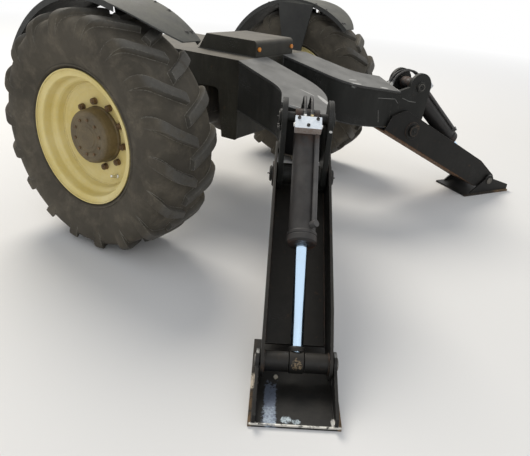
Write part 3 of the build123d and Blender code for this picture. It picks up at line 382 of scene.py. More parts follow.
LEG_MARKS = (
    (RUST_LIGHT, 0, (0.890, 0.0, 0.120), (0.020, 0.019, 0.020), 0, 0.46),
    ((0.11, 0.075, 0.045), 0, (0.030, 0.134, 0.560), (0.024, 0.02, 0.022), 0, 0.46),
)
FOOT_MARKS = (
    (STEEL_DARK, -1, (0.985, -0.0895, 0.015), (0.100, 0.0205, 0.05), 0, 0.36, True),
    ((0.34, 0.40, 0.47), -1, (1.040, -0.0905, 0.015), (0.040, 0.0235, 0.05), 0, 0.44, True),
    (STEEL_PALE, -1, (1.056, -0.030, 0.015), (0.019, 0.017, 0.01), 0, 0.42),
    (STEEL_PALE, -1, (1.064, 0.004, 0.015), (0.012, 0.016, 0.01), 0, 0.45),
    (PALE, -1, (1.060, 0.134, 0.015), (0.018, 0.007, 0.02), 0, 0.30),
    (PALE, -1, (0.893, 0.152, 0.060), (0.010, 0.02, 0.03), 0, 0.40),
    ((0.50, 0.46, 0.38), -1, (0.842, -0.070, 0.015), (0.013, 0.008, 0.01), 0, 0.36),
    ((0.46, 0.41, 0.34), -1, (0.872, -0.156, 0.015), (0.036, 0.016, 0.01), 0, 0.38, True),
    (STEEL_DARK, 1, (1.000, 0.060, 0.015), (0.070, 0.012, 0.05), 0, 0.42, True),
    (SCUFF, 0, (0.857, 0.150, 0.150), (0.018, 0.02, 0.004)),
    (SCUFF, 0, (0.857, -0.150, 0.150), (0.018, 0.02, 0.004)),
)


def black_paint(
    name, base, dust, top_dust_and_sheen, wear=1.0, rust=0.25, rough=0.5, scuffs=0.4, film=0.12,
    marks=(), lit_lower_edge=0.0, ragged=0.9,
):
    """Black chassis paint: mottled, dusty on top, with worn edges, rust freckles, scuffs and bare marks. On
    the top plates the pale top is partly dust and partly a painted sheen.
    """
    p = Paint(name, metallic=0.0, specular_ior_level=0.22)
    fine = p.noise(46, 8, 0.65)
    grit = p.noise(420, 4, 0.7)
    p.colour = p.mix(p.noise(3.1, 5, 0.62).fit(0.35, 0.7), shade(base, 0.7), shade(base, 1.5))
    streak = p.noise(9, 6, 0.7, 0.4, p.stretched((1.0, 1.0, 0.14)))
    veil = streak.fit(0.48, 0.74) * fine.fit(0.3, 0.8) * film
    p.coat(veil, dust)
    # dust lying on faces that look up; on the top plates it is also a painted sheen
    lying_dust_and_sheen = p.upward() * p.noise(7.5, 7, 0.6).fit(0.22, 0.62, 0.35, 1.0) * top_dust_and_sheen
    p.coat(lying_dust_and_sheen, dust)
    # thin scratches, in groups
    lines = p.noise(26, 3, 0.45, 0.9, p.stretched((1.0, 5.0, 9.0), (0.5, 0.3, 0.9)))
    groups = p.noise(5.2, 3, 0.5, 0.0, p.stretched((1, 1, 1), (1, 2, 3)))
    p.coat(abs(lines - 0.5).fit(0.0, 0.008, 1.0, 0.0) * groups.fit(0.56, 0.66) * scuffs, (0.34, 0.34, 0.33))
    chips = p.edges(0.0035) * fine.fit(0.46, 0.62) * wear
    p.coat(chips, (0.30, 0.275, 0.245))
    rust_and_lit_edge = p.noise(24, 8, 0.72).fit(0.60, 0.70) * rust
    if lit_lower_edge:
        # a painted highlight along the leg's lower edges, laid in the rust colours, measured square to its
        # axis
        out, _, height = p.axes(p.leg_frame())
        edge = LEG_PIN.z * cos(LEG_DROP) - 0.088
        low = (out * sin(LEG_DROP) + height * cos(LEG_DROP)).fit(edge, edge - 0.0055)
        low = low * fine.fit(0.30, 0.52) * out.fit(0.68, 0.50, 0.25, 1.0)
        rust_and_lit_edge = rust_and_lit_edge | low * lit_lower_edge
    # rust spots, and where given the painted highlight on the lower edges
    p.coat(rust_and_lit_edge, p.mix(grit, (0.090, 0.040, 0.018), (0.26, 0.14, 0.065)))
    bare = p.lay_marks(marks, fine, 0.6, ragged)
    shine = p.blend(fine.fit(0.3, 0.8), rough - 0.08, rough + 0.14)
    shine = p.blend(lying_dust_and_sheen | veil, shine, 0.82)
    shine = p.blend(rust_and_lit_edge, shine, 0.9)
    if bare:
        shine = p.blend(bare, shine, 0.45)
    return p.done(shine, fine * 0.5 + grit * 0.25 - (chips + rust_and_lit_edge) * 0.5, 0.0007, 0.55, chips * 0.5)


def foot_paint():
    """The foot: black paint, worn to steel in places and along its front edge, rust on its margins."""
    p = Paint("foot_worn", specular_ior_level=0.25)
    fine = p.noise(70, 8, 0.65)
    out, across, height = p.axes(p.leg_frame())
    p.colour = p.mix(p.noise(8, 6, 0.6).fit(0.3, 0.7), (0.0045, 0.0043, 0.004), (0.0105, 0.0100, 0.009))
    p.coat(p.upward(0.5, 1.0) * p.noise(14, 6).fit(0.40, 0.75, 0.0, 0.10), (0.16, 0.145, 0.12))
    margin = abs(across).fit(0.148, 0.154) * height.fit(0.019, 0.016) * out.fit(0.90, 0.97, 0.12, 1.0)
    rust = margin * p.noise(19, 8, 0.7).fit(0.34, 0.54) | p.noise(23, 8, 0.72).fit(0.65, 0.75, 0.0, 0.4)
    p.coat(rust, p.mix(fine, (0.070, 0.042, 0.022), (0.27, 0.185, 0.11)))
    bare = p.lay_marks(FOOT_MARKS, fine, 0.55, 2.2)
    lip = height.fit(0.0065, 0.0095) * height.fit(0.019, 0.017)
    front = out.fit(1.0750, 1.0780) * lip * p.noise(26, 7, 0.7).fit(0.40, 0.50)
    worn = p.edges(0.003) * fine.fit(0.50, 0.66) * 0.5 | front
    p.coat(worn, (0.66, 0.64, 0.58))
    bright = bare | worn
    shine = p.blend(bright, p.blend(rust, 0.5, 0.9), 0.38)
    return p.done(shine, fine - (rust * 0.8 + bright), 0.0008, 0.6, bright * 0.5)


def barrel_paint(name, dark, light):
    """Cylinder paint: black with long streaks, rust at its base weld and its gland."""
    p = Paint(name, specular_ior_level=0.3)
    fine = p.noise(90, 8, 0.65)
    p.colour = p.mix(p.noise(14, 6, 0.65, 0.2).fit(0.35, 0.68), dark, light)
    p.coat(p.upward(0.1, 0.9) * p.noise(11, 6).fit(0.35, 0.7, 0.05, 0.30), (0.15, 0.14, 0.13))
    height = p.axes()[2]
    ends = height.fit(0.465, 0.425) | height.fit(0.74, 0.79)
    rust = p.noise(17, 8, 0.7).fit(0.44, 0.64) * (ends * 0.8 + 0.06)
    p.coat(rust, p.mix(fine, (0.034, 0.015, 0.009), (0.105, 0.050, 0.028)))
    p.coat(p.edges(0.003) * fine.fit(0.46, 0.62), (0.26, 0.24, 0.21))
    return p.done(p.blend(rust, fine.fit(0.3, 0.7, 0.36, 0.52), 0.85), fine - rust, 0.0006, 0.5)


def chrome(name, tone, dusty):
    """Hard chrome with faint lengthwise wipe marks and a little dust."""
    p = Paint(name, metallic=1.0)
    marks = p.noise(60, 5, 0.6, 0.0, p.stretched((1, 1, 0.1)))
    film = p.noise(12, 6, 0.6).fit(0.50, 0.85, 0.0, 0.25)
    p.colour = p.mix(film, tone, dusty)
    return p.done(marks.fit(0.3, 0.7, 0.14, 0.22) + film * 0.3, marks, 0.0001, 0.25)


def rim_paint():
    """Yellow rim paint: chalky, dusted, with brown in its corners and thin chips on the lip."""
    p = Paint("rim_yellow")
    fine = p.noise(60, 8, 0.65)
    p.colour = p.mix(p.noise(5.5, 5, 0.6).fit(0.32, 0.7), (0.72, 0.575, 0.190), (0.80, 0.675, 0.31))
    p.coat(fine.fit(0.5, 0.75, 0.0, 0.35), (0.72, 0.64, 0.42))
    # brown where the surface is hemmed in, found by ambient occlusion
    hollow = p.value("AmbientOcclusion", "AO", {"Distance": 0.06}, samples=6)
    p.coat(hollow.fit(0.75, 0.35) * p.noise(16, 7).fit(0.3, 0.65, 0.25, 1.0) * 0.75, (0.18, 0.115, 0.05))
    chips = p.edges(0.003) * fine.fit(0.52, 0.64)
    p.coat(chips, (0.30, 0.22, 0.13))
    rust = p.noise(33, 8, 0.75).fit(0.66, 0.74) * 0.55
    p.coat(rust, (0.22, 0.09, 0.035))
    return p.done(p.blend(fine.fit(0.3, 0.8), 0.38, 0.62), fine - (chips + rust), 0.0005, 0.5)


def hub_paint():
    """Cast hub: olive-brown dust baked on dark paint, with pale chips on its edges."""
    p = Paint("hub_brown")
    fine = p.noise(85, 8, 0.7)
    p.colour = p.mix(p.noise(9, 6, 0.6).fit(0.3, 0.7), (0.070, 0.052, 0.026), (0.150, 0.112, 0.056))
    p.coat(fine.fit(0.45, 0.75, 0.0, 0.5), (0.23, 0.17, 0.095))
    p.coat(p.edges(0.004) * fine.fit(0.45, 0.6), (0.30, 0.23, 0.14))
    return p.done(fine.fit(0.3, 0.8, 0.48, 0.75), fine * 0.6 + p.noise(300, 3), 0.0009, 0.6)


def tyre_rubber():
    """Dusty rubber: brown between the lugs, dark scrubbed lug tops, pale lug edges that are partly scuffs and
    partly a painted highlight, ribs by the bead.
    """
    p = Paint("tyre_dusty", specular_ior_level=0.3)
    flat = p.vector("SUBTRACT", p.place, (AXLE_X, 0, WHEEL_Z))
    radius = p.length(p.vector("MULTIPLY", flat, (1, 0, 1)))
    fine = p.noise(75, 9, 0.68)
    p.colour = p.mix(p.noise(4.3, 6, 0.55, 0.2).fit(0.3, 0.7), (0.054, 0.047, 0.036), (0.092, 0.080, 0.061))
    p.coat(p.noise(11, 7, 0.62, 0.3).fit(0.46, 0.70) * fine.fit(0.25, 0.6) * 0.5, (0.20, 0.170, 0.125))
    scrub = radius.fit(0.566, 0.590) * p.noise(21, 6, 0.6).fit(0.28, 0.48)
    p.coat(scrub * 0.75, p.mix(fine, (0.055, 0.052, 0.046), (0.125, 0.120, 0.108)))
    # pale on the lugs' edges: scuffs and dust, and a painted highlight that makes the lugs stand out
    edge = p.edges(0.007, 0.02, 0.3) * fine.fit(0.36, 0.58) * radius.fit(0.46, 0.50)
    p.coat(edge * 0.8, (0.33, 0.315, 0.27))
    ribs = p.calc("SINE", radius * 1050.0) * radius.fit(0.40, 0.345)
    shine = p.blend(scrub, fine.fit(0.3, 0.8, 0.80, 0.96), 0.68)
    return p.done(shine, fine * 0.8 + p.noise(480, 3, 0.7) * 0.3 + ribs * 0.14, 0.0014, 0.6)


def guard_plastic():
    """Mudguard: matt black moulded sheet with a fine grain, dust on top and grey scuffs on its rim."""
    p = Paint("guard_black")
    grain = p.value("TexVoronoi", "Distance", {"Vector": p.place, "Scale": 900})
    fine = p.noise(50, 7, 0.65)
    p.colour = p.mix(p.noise(5, 5).fit(0.3, 0.7), (0.016, 0.0165, 0.016), (0.036, 0.037, 0.034))
    dust = p.upward(0.0, 0.9) * p.noise(9, 7, 0.65).fit(0.34, 0.66, 0.25, 0.9)
    p.coat(dust * 0.55, (0.22, 0.215, 0.18))
    p.coat(p.edges(0.004) * fine.fit(0.42, 0.6), (0.15, 0.15, 0.135))
    return p.done(p.blend(dust, fine.fit(0.3, 0.7, 0.48, 0.66), 0.85), grain * 0.5 + fine, 0.0005, 0.45)


def hose_rubber():
    """Hydraulic hose: black cover with a fine wrap pattern and dust."""
    p = Paint("hose_black")
    x, _, z = p.axes()
    wrap = p.calc("SINE", (x + z) * 2600.0)
    fine = p.noise(150, 6, 0.6)
    p.colour = p.mix(fine.fit(0.35, 0.7), (0.012, 0.012, 0.012), (0.045, 0.042, 0.038))
    return p.done(fine.fit(0.3, 0.7, 0.45, 0.65), wrap * 0.15 + fine, 0.0005, 0.4)


def valve_alloy():
    """Machined valve block: pale aluminium with fine tool marks, brown and less metallic on the faces that
    turn down.
    """
    p = Paint("valve_alloy")
    marks = p.noise(220, 3, 0.5, 0.0, p.stretched((0.08, 1.0, 1.0), (0, 0, SPLAY)))
    p.colour = p.mix(marks.fit(0.3, 0.7), (0.66, 0.72, 0.78), (0.82, 0.86, 0.90))
    p.coat(p.noise(18, 6, 0.65).fit(0.52, 0.74, 0.0, 0.5), (0.46, 0.47, 0.46))
    # brown on the faces that turn down, and partly on the upright sides
    downward_brown = p.upward(0.2, -0.35) * p.noise(160, 7, 0.6).fit(0.2, 0.6, 0.55, 0.95)
    p.coat(downward_brown, (0.23, 0.165, 0.125))
    return p.done(marks.fit(0.3, 0.7, 0.34, 0.5), marks, 0.0003, 0.4, (1.0 - downward_brown) * 0.35)


def plain_metal(name, low, high, rough, metallic, scale, wear=None, bump=0.0003):
    """Machined, plated or rusty metal: blotches and grain, with worn edges where wear is given."""
    p = Paint(name, metallic=metallic)
    fine = p.noise(scale, 7, 0.65)
    p.colour = p.mix(p.noise(scale * 0.2, 6, 0.6).fit(0.35, 0.68), low, high)
    p.coat(fine.fit(0.5, 0.8, 0.0, 0.4), shade(low, 0.6))
    if wear:
        p.coat(p.edges(0.0015) * fine.fit(0.4, 0.55), wear)
    return p.done(fine.fit(0.3, 0.75, *rough), fine, bump, 0.5)


BLACK = (0.0105, 0.0108, 0.0095)
arm_mat = black_paint("arm_black", BLACK, (0.26, 0.255, 0.24), 0.45, wear=0.8, rust=0.10, marks=ARM_MARKS)
# top plates: the black paint made grey, with heavy dust on top; partly real dust, partly a painted sheen of
# the sky on the satin black
plate_dust_and_sheen_mat = black_paint(
    "arm_plate_dust_and_sheen", (0.045, 0.045, 0.044), (0.235, 0.232, 0.222), 0.95, rust=0.05, scuffs=0.7,
    marks=PLATE_MARKS,
)
lug_mat = black_paint(
    "lug_black", BLACK, (0.20, 0.195, 0.18), 0.12, wear=0.7, rust=0.12, film=0.08, marks=LUG_MARKS
)
leg_mat = black_paint(
    "leg_black", (0.0070, 0.0066, 0.0058), (0.16, 0.14, 0.115), 0.12, wear=0.9, rust=0.22, film=0.05,
    scuffs=0.25,
    marks=LEG_MARKS, lit_lower_edge=0.9, ragged=2.6,
)
frame_mat = black_paint("frame_black", (0.024, 0.023, 0.018), (0.27, 0.245, 0.205), 0.5, wear=0.5, film=0.2)
axle_mat = black_paint(
    "axle_dirty", (0.028, 0.024, 0.019), (0.17, 0.14, 0.10), 0.7, wear=0.4, rust=0.45, rough=0.62, film=0.3
)
foot_mat = foot_paint()
barrel_mat = barrel_paint("barrel_black", (0.0115, 0.0110, 0.0110), (0.022, 0.021, 0.0205))
# the feed pipe: the barrel's black paint made lighter, a painted highlight for the pipe's lit band
pipe_lightened_mat = barrel_paint("pipe_black_lightened", (0.050, 0.049, 0.049), (0.095, 0.092, 0.090))
# the rod's chrome is tinted blue: a painted reflection of a blue sky
sky_tinted_chrome_mat = chrome("rod_sky_tinted_chrome", (0.58, 0.76, 0.95), (0.52, 0.60, 0.68))
steer_mat = chrome("steer_chrome", (0.50, 0.51, 0.52), (0.36, 0.34, 0.31))
rim_mat = rim_paint()
hub_mat = hub_paint()
tyre_mat = tyre_rubber()
guard_mat = guard_plastic()
hose_mat = hose_rubber()
valve_mat = valve_alloy()
nut_mat = plain_metal(
    "nut_brown", (0.105, 0.062, 0.030), (0.20, 0.125, 0.062), (0.45, 0.7), 0.4, 150, (0.36, 0.30, 0.22)
)
zinc_mat = plain_metal("zinc_plate", (0.62, 0.62, 0.60), (0.78, 0.78, 0.76), (0.26, 0.42), 1.0, 170)
brass_mat = plain_metal("brass_plate", (0.50, 0.40, 0.22), (0.68, 0.57, 0.36), (0.28, 0.45), 1.0, 170)
bolt_mat = plain_metal(
    "bolt_black", (0.030, 0.029, 0.028), (0.080, 0.076, 0.070), (0.38, 0.6), 0.6, 140, (0.36, 0.34, 0.31)
)
pin_mat = plain_metal(
    "pin_worn", (0.055, 0.052, 0.048), (0.15, 0.14, 0.125), (0.3, 0.5), 0.8, 90, (0.50, 0.48, 0.44)
)
crimp_mat = plain_metal(
    "crimp_steel", (0.040, 0.040, 0.040), (0.10, 0.10, 0.098), (0.35, 0.5), 0.8, 170, (0.36, 0.36, 0.35)
)
amber_mat = plain_metal("reflector_amber", (0.70, 0.22, 0.02), (0.88, 0.34, 0.05), (0.12, 0.2), 0.0, 60)
arm_weld_mat, pale_weld_mat, leg_weld_mat = (
    plain_metal(f"weld_{name}", low, high, rough, 0.1, scale, wear, 0.0006)
    for name, low, high, rough, scale, wear in (
        ("arm", (0.012, 0.012, 0.011), (0.030, 0.029, 0.026), (0.45, 0.7), 210, (0.13, 0.125, 0.11)),
        ("pale", (0.10, 0.10, 0.095), (0.22, 0.215, 0.20), (0.5, 0.7), 210, None),
        ("leg", (0.010, 0.008, 0.006), (0.050, 0.026, 0.014), (0.5, 0.8), 160, (0.14, 0.09, 0.05)),
    )
)


# Mesh toolkit


def mm(rows):
    """Rows of millimetres, in metres."""
    return [tuple(value / 1000 for value in row) for row in rows]


@contextmanager
def editing(mesh):
    """A mesh opened for changes, and written back at the end."""
    work = bmesh.new()
    work.from_mesh(mesh)
    yield work
    work.to_mesh(mesh)
    work.free()


def mesh_object(name, points, faces, smooth=True):
    mesh = bpy.data.meshes.new(name)
    mesh.from_pydata([tuple(p) for p in points], [], faces)
    mesh.validate()
    with editing(mesh) as work:
        bmesh.ops.recalc_face_normals(work, faces=work.faces)
        for face in work.faces:
            face.smooth = smooth
    return placed(name, mesh)


def sharpen(obj, limit=38):
    """Marks the edges that turn more than limit degrees as sharp, and weights the normals by face area."""
    with editing(obj.data) as work:
        for face in work.faces:
            face.smooth = True
        for edge in work.edges:
            edge.smooth = not (len(edge.link_faces) == 2 and edge.calc_face_angle(0) > radians(limit))
    obj.modifiers.new("normals", "WEIGHTED_NORMAL").keep_sharp = True
    return obj


def keep(obj, body, slot, material, *replaced):
    """Makes an object a piece of the model: its material, its body, and the CAD nodes that it stands for,
    which are hidden. The slot is not used.
    """
    obj.data.materials.clear()
    obj.data.materials.append(material)
    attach(obj, body)
    if replaced:
        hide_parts(*replaced)
    return obj


def bevel(work, edges, width, **settings):
    bmesh.ops.bevel(
        work, geom=edges, offset=width, offset_type="OFFSET", segments=2, profile=0.5, affect="EDGES",
        **settings,
    )


def broken(obj, width):
    """Takes every edge of an object off by a small rounding."""
    with editing(obj.data) as work:
        bevel(work, work.edges[:], width)
    return obj


def dressed(node, body, slot, material, width):
    """A CAD node with its edges rounded, as a new piece in its place."""
    name = f"{node}_dressed"
    mesh = nodes[node].data.copy()
    mesh.name = name
    if "custom_normal" in mesh.attributes:
        mesh.attributes.remove(mesh.attributes["custom_normal"])
    with editing(mesh) as work:
        bmesh.ops.remove_doubles(work, verts=work.verts, dist=2e-5)
        bmesh.ops.dissolve_limit(
            work, angle_limit=radians(0.6), verts=work.verts[:], edges=work.edges[:],
            use_dissolve_boundaries=False,
        )
        sharp = [e for e in work.edges if len(e.link_faces) == 2 and e.calc_face_angle(0) > radians(32)]
        bevel(work, sharp, width, clamp_overlap=True)
    return keep(sharpen(placed(name, mesh), 42), body, slot, material, node)


def around(axis):
    """An axis of length 1 and two directions square to it."""
    axis = Vector(axis).normalized()
    first = axis.orthogonal().normalized()
    return axis, first, axis.cross(first)


def grid(rows, cols, ring=True, loop=False, base=0, ends=False):
    """Faces between rows of points, cols to a row.

    A ring closes each row on itself, a loop joins the last row to the first, and ends closes both ends.
    """
    faces = []
    for row in range(rows if loop else rows - 1):
        a, b = base + row * cols, base + (row + 1) % rows * cols
        for i in range(cols if ring else cols - 1):
            j = (i + 1) % cols
            faces.append((a + i, a + j, b + j, b + i))
    if ends:
        faces += [tuple(range(first, first + cols)) for first in (base, base + (rows - 1) * cols)]
    return faces


def turned(name, origin, axis, profile, steps=96, closed=False):
    """A lathe-turned piece from (along, radius) pairs about an axis; closed joins the last to the first."""
    axis, first, second = around(axis)
    points = []
    for step in range(steps):
        angle = 2 * pi * step / steps
        way = first * cos(angle) + second * sin(angle)
        points += [Vector(origin) + axis * along + way * radius for along, radius in profile]
    obj = mesh_object(name, points, grid(steps, len(profile), closed, True))
    with editing(obj.data) as work:
        bmesh.ops.remove_doubles(work, verts=work.verts, dist=1e-6)
        bmesh.ops.recalc_face_normals(work, faces=work.faces)
    return obj


def rounded(points, radius, steps=2):
    """A profile with each inner corner cut to a short arc."""
    result = [points[0]]
    for before, corner, after in zip(points, points[1:], points[2:]):
        a, c, b = Vector(before), Vector(corner), Vector(after)
        reach = min(radius, (a - c).length * 0.45, (b - c).length * 0.45)
        p, q = c + (a - c).normalized() * reach, c + (b - c).normalized() * reach
        for i in range(steps + 1):
            t = i / steps
            result.append(tuple(p * (1 - t) ** 2 + c * 2 * t * (1 - t) + q * t**2))
    return result + [points[-1]]


def lathe(name, origin, axis, profile, arc, steps, closed=False, bends=2):
    """A turned piece whose profile and corner arcs are in millimetres."""
    return turned(name, origin, axis, rounded(mm(profile), arc / 1000, bends), steps, closed)


def joined(name, parts):
    """Several mesh objects as one."""
    work = bmesh.new()
    for part in parts:
        work.from_mesh(part.data)
        bpy.data.objects.remove(part)
    mesh = bpy.data.meshes.new(name)
    work.to_mesh(mesh)
    work.free()
    return placed(name, mesh)


HEX_STEPS = 36


def hex_prism(name, origin, axis, across, height, turn=0.0):
    """A hexagon nut or bolt head with its top corners turned off."""
    axis, first, second = around(axis)
    corner = across / 2 / cos(pi / 6)
    points = []
    for rise, share in ((0.0, 1.0), (height * 0.85, 1.0), (height, 0.90)):
        for i in range(HEX_STEPS):
            angle = 2 * pi * i / HEX_STEPS
            reach = across / 2 / cos((angle % (pi / 3)) - pi / 6)
            if share < 1:
                reach = min(reach, corner * (share + 0.002))
            way = first * cos(angle + turn) + second * sin(angle + turn)
            points.append(Vector(origin) + axis * rise + way * reach)
    faces = grid(3, HEX_STEPS)
    faces += [tuple(range(HEX_STEPS))[::-1], tuple(range(2 * HEX_STEPS, 3 * HEX_STEPS))]
    return mesh_object(name, points, faces, False)


def bolt(name, origin, axis, across, stud=0.0, turn=0.0):
    """A hex head on its washer, and a stud's end where stud is given."""
    axis = Vector(axis).normalized()
    origin = Vector(origin)
    seat, wide, tall = across * 0.10, across * 0.66, across * 0.62
    washer = rounded([(0, 0), (0, wide), (seat, wide), (seat, 0)], 0.0008)
    parts = [
        turned(name + "_w", origin, axis, washer, 28),
        hex_prism(name + "_h", origin + axis * seat, axis, across, tall, turn),
    ]
    if stud:
        low, tip = seat + tall - 0.001, seat + tall + stud * 1.1
        profile = [(low, 0), (low, stud), (seat + tall + stud * 0.8, stud), (tip, stud * 0.75), (tip, 0)]
        parts.append(turned(name + "_s", origin, axis, profile, 20))
    return joined(name, parts)


def tube(name, points, radius):
    """A round tube along a NURBS curve through a route's points."""
    curve = bpy.data.curves.new(name, "CURVE")
    curve.dimensions = "3D"
    curve.bevel_depth = radius
    curve.bevel_resolution = 4
    curve.use_fill_caps = True
    spline = curve.splines.new("NURBS")
    spline.points.add(len(points) - 1)
    for point, place in zip(spline.points, points):
        point.co = (*place, 1)
    spline.order_u = 3
    spline.use_endpoint_u = True
    spline.resolution_u = 10
    holder = placed(name + "_curve", curve)
    bpy.context.view_layer.update()
    mesh = bpy.data.meshes.new_from_object(holder)
    mesh.name = name
    bpy.data.objects.remove(holder)
    for polygon in mesh.polygons:
        polygon.use_smooth = True
    return placed(name, mesh)


BEAD_RING = 8


def bead(name, points, radius, seed):
    """A weld bead: a tube with the ripples of its runs, laid along a route of straight parts."""
    rng = random.Random(seed)
    route = []
    for a, b in zip(points, points[1:]):
        a, b = Vector(a), Vector(b)
        count = max(2, int((b - a).length / (radius * 0.9)))
        route += [a.lerp(b, i / count) for i in range(count)]
    route.append(Vector(points[-1]))
    verts = []
    for i, place in enumerate(route):
        _, a, b = around(route[min(i + 1, len(route) - 1)] - route[max(i - 1, 0)])
        reach = radius * (1 + 0.16 * (1 if i % 2 else -1) + rng.uniform(-0.10, 0.10))
        angles = [2 * pi * k / BEAD_RING for k in range(BEAD_RING)]
        verts += [place + (a * cos(angle) + b * sin(angle)) * reach for angle in angles]
    return mesh_object(name, verts, grid(len(route), BEAD_RING, ends=True))


def circle_points(centre, axis, radius):
    """Points round a circle about an axis, closed on itself."""
    _, first, second = around(axis)
    angles = [2 * pi * i / 48 for i in range(49)]
    return [Vector(centre) + (first * cos(a) + second * sin(a)) * radius for a in angles]


def fillet_points(a, corner, b, radius, count=10):
    """The line a, corner, b in plan with its corner rounded, as points."""
    a, corner, b = Vector(a), Vector(corner), Vector(b)
    to_a, to_b = (a - corner).normalized(), (b - corner).normalized()
    half_turn = to_a.angle(to_b) / 2
    reach = radius / tan(half_turn)
    middle = corner + (to_a + to_b).normalized() * (radius / sin(half_turn))
    start, end = corner + to_a * reach - middle, corner + to_b * reach - middle
    turn = start.angle_signed(end)
    arc = []
    for i in range(count + 1):
        c, s = cos(-turn * i / count), sin(-turn * i / count)
        arc.append(middle + Vector((start.x * c - start.y * s, start.x * s + start.y * c)))
    return [a] + arc + [b]


def slab(name, corner, a, b, c, width):
    """A plate from one corner and its three edges, with broken edges."""
    corner, a, b, c = (Vector(v) for v in (corner, a, b, c))
    points = [corner + a * i + b * j + c * k for k in (0, 1) for i, j in ((0, 0), (1, 0), (1, 1), (0, 1))]
    faces = [(0, 3, 2, 1), (4, 5, 6, 7), (0, 1, 5, 4), (1, 2, 6, 5), (2, 3, 7, 6), (3, 0, 4, 7)]
    return broken(mesh_object(name, points, faces, False), width)


# Hoses

HOSE_R = 0.007
HOSE_SPACING = 0.031
# out from the leg pin, and height
HOSE_ROUTE = [
    (0.1021, 0.8611), (0.0680, 0.8905), (0.0190, 0.9140), (-0.0380, 0.9150), (-0.0900, 0.8970),
    (-0.1240, 0.8680),
]
PORT_U = -0.138
PORT_HEIGHT = 0.012
CRIMP = [
    (0, 7.2), (0, 10.5), (6, 10.5), (7, 9.6), (12, 9.6), (13, 10.4), (19, 10.4), (20, 9.6), (26, 9.4),
    (28, 7.4),
]


def hose_pair(name, side):
    """Two hoses from the arm's port over the cylinder pin to the valve block, with a crimp at each end."""
    body = f"barrel_{name}"
    port_z = arm_top(LEG_PIN.x + PORT_U * sin(SPLAY)) + ARM_PLATE + PORT_HEIGHT
    for mark, v in (("a", -HOSE_SPACING / 2), ("b", HOSE_SPACING / 2)):
        points = [leg_point(side, u, z, v) for u, z in HOSE_ROUTE + [(PORT_U, port_z)]]
        hose = tube(f"hose_{name}_{mark}", points, HOSE_R)
        hose.data.materials.append(hose_mat)
        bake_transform(hose)
        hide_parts(f"hoses_{name}")
        for end, toward, rider in ((points[0], points[1], body), (points[-1], points[-2], "frame")):
            way = (toward - end).normalized()
            crimp = lathe(f"crimp_{name}_{mark}_{rider}", end - way * 0.002, way, CRIMP, 0.6, 28)
            keep(sharpen(crimp), rider, "nut_steel", crimp_mat)


for name, side in SIDES:
    hose_pair(name, side)


# Wheels. Profiles are (outboard from the tyre's middle, radius)

CARCASS = mm([
    (0, 570.5), (50, 570), (90, 569), (125, 566), (150, 560), (170, 548), (183, 529), (190.5, 506),
    (194.5, 480), (195, 455), (192, 432), (187, 412), (180, 390), (173, 370), (169, 358),
])
BEAD = mm([(173.5, 354.5), (173.5, 348), (166, 344), (156, 341.5), (151.5, 335), (150, 318), (149, 305.5)])
INSIDE = mm([(120, 305.5), (132, 350), (160, 400), (168, 460), (160, 510), (120, 535), (0, 541)])
# a lug's sections from the tyre's middle out: foot and top (outboard and radius of each), sweep round the
# tyre, half width
STATIONS = mm([
    (-16, 566, -16, 599, 26, 24), (0, 566, 0, 600, 36, 24.5), (30, 566, 30, 600, 50, 25),
    (75, 564, 75, 599.8, 74, 26), (115, 560, 120, 598.5, 98, 27), (143, 551, 150, 594, 122, 29),
    (162, 538, 176, 578.5, 143, 31), (175, 521, 190, 550, 157, 32), (182, 501, 194.5, 518, 166, 31),
    (187, 480, 195.5, 490, 172, 27), (189, 466, 192.5, 468, 176, 20),
])
TYRE_STEPS = 216
LUGS_A_ROW = 18
LUG_SECTION = 9
RIM_PROFILE = mm([
    (40, 142.4), (40, 224), (44.5, 240), (52, 250), (56, 260), (70, 264), (86, 267), (96, 274),
    (101, 286), (110, 291.5), (145, 295), (154.5, 299), (156, 310), (158, 326), (164, 330.5),
    (166.5, 327.5), (168.8, 329), (168.6, 332.8), (166, 334.8), (158.5, 334.8), (154.5, 333),
    (153, 326), (152.5, 310), (149, 304.5), (105, 300), (93, 292), (88, 279), (80, 277), (-65, 277),
    (-80, 285), (-105, 300), (-149, 304.5), (-152.5, 310), (-153, 326), (-154.5, 333), (-158.5, 334.8),
    (-166, 334.8), (-168.6, 332.8), (-168.8, 329), (-164, 329), (-158, 324), (-156.5, 305), (-154, 297),
    (-145, 295), (-105, 290), (-70, 270), (24, 268), (30, 260), (26, 240), (24, 224), (24, 142.4),
])
RIM_WELD = (0.0545, 0.2585)
STEM_ANGLE = radians(-63)
STEM = [
    (0, 0), (0, 11.5), (6, 11.5), (8, 7.5), (22, 6.6), (23, 7.8), (40, 7.8), (42, 5), (42, 0),
]
HUB_PROFILE = [
    (3.5, 191.5), (23.5, 191.5), (23.7, 142), (52, 142), (56, 137.5), (100, 136), (118, 131),
    (126.5, 120), (128, 105), (126.2, 102), (126.2, 76), (129, 72), (129, 58), (131.8, 55), (131.8, 0),
]
NUT_SEAT = 0.0402
NUT_CIRCLE = 0.167
HUB_SCREW_CIRCLE = 0.0885


def wheel_point(side, across, radius, angle):
    """across is outboard from the tyre's middle; angle runs from straight down towards the front."""
    return Vector((AXLE_X + radius * sin(angle), side * (TRACK + across), WHEEL_Z - radius * cos(angle)))


def wheel_place(side, across, radius=0.0, angle=0.0):
    """The same with the angle from the front towards the top."""
    return Vector((AXLE_X + radius * cos(angle), side * (TRACK + across), WHEEL_Z + radius * sin(angle)))


def smoothed(rows):
    """A row of points with each corner cut at a quarter of its runs."""
    cut = [rows[0]]
    for a, b in zip(rows, rows[1:]):
        cut.append(tuple(x * 0.75 + y * 0.25 for x, y in zip(a, b)))
        cut.append(tuple(x * 0.25 + y * 0.75 for x, y in zip(a, b)))
    return cut + [rows[-1]]


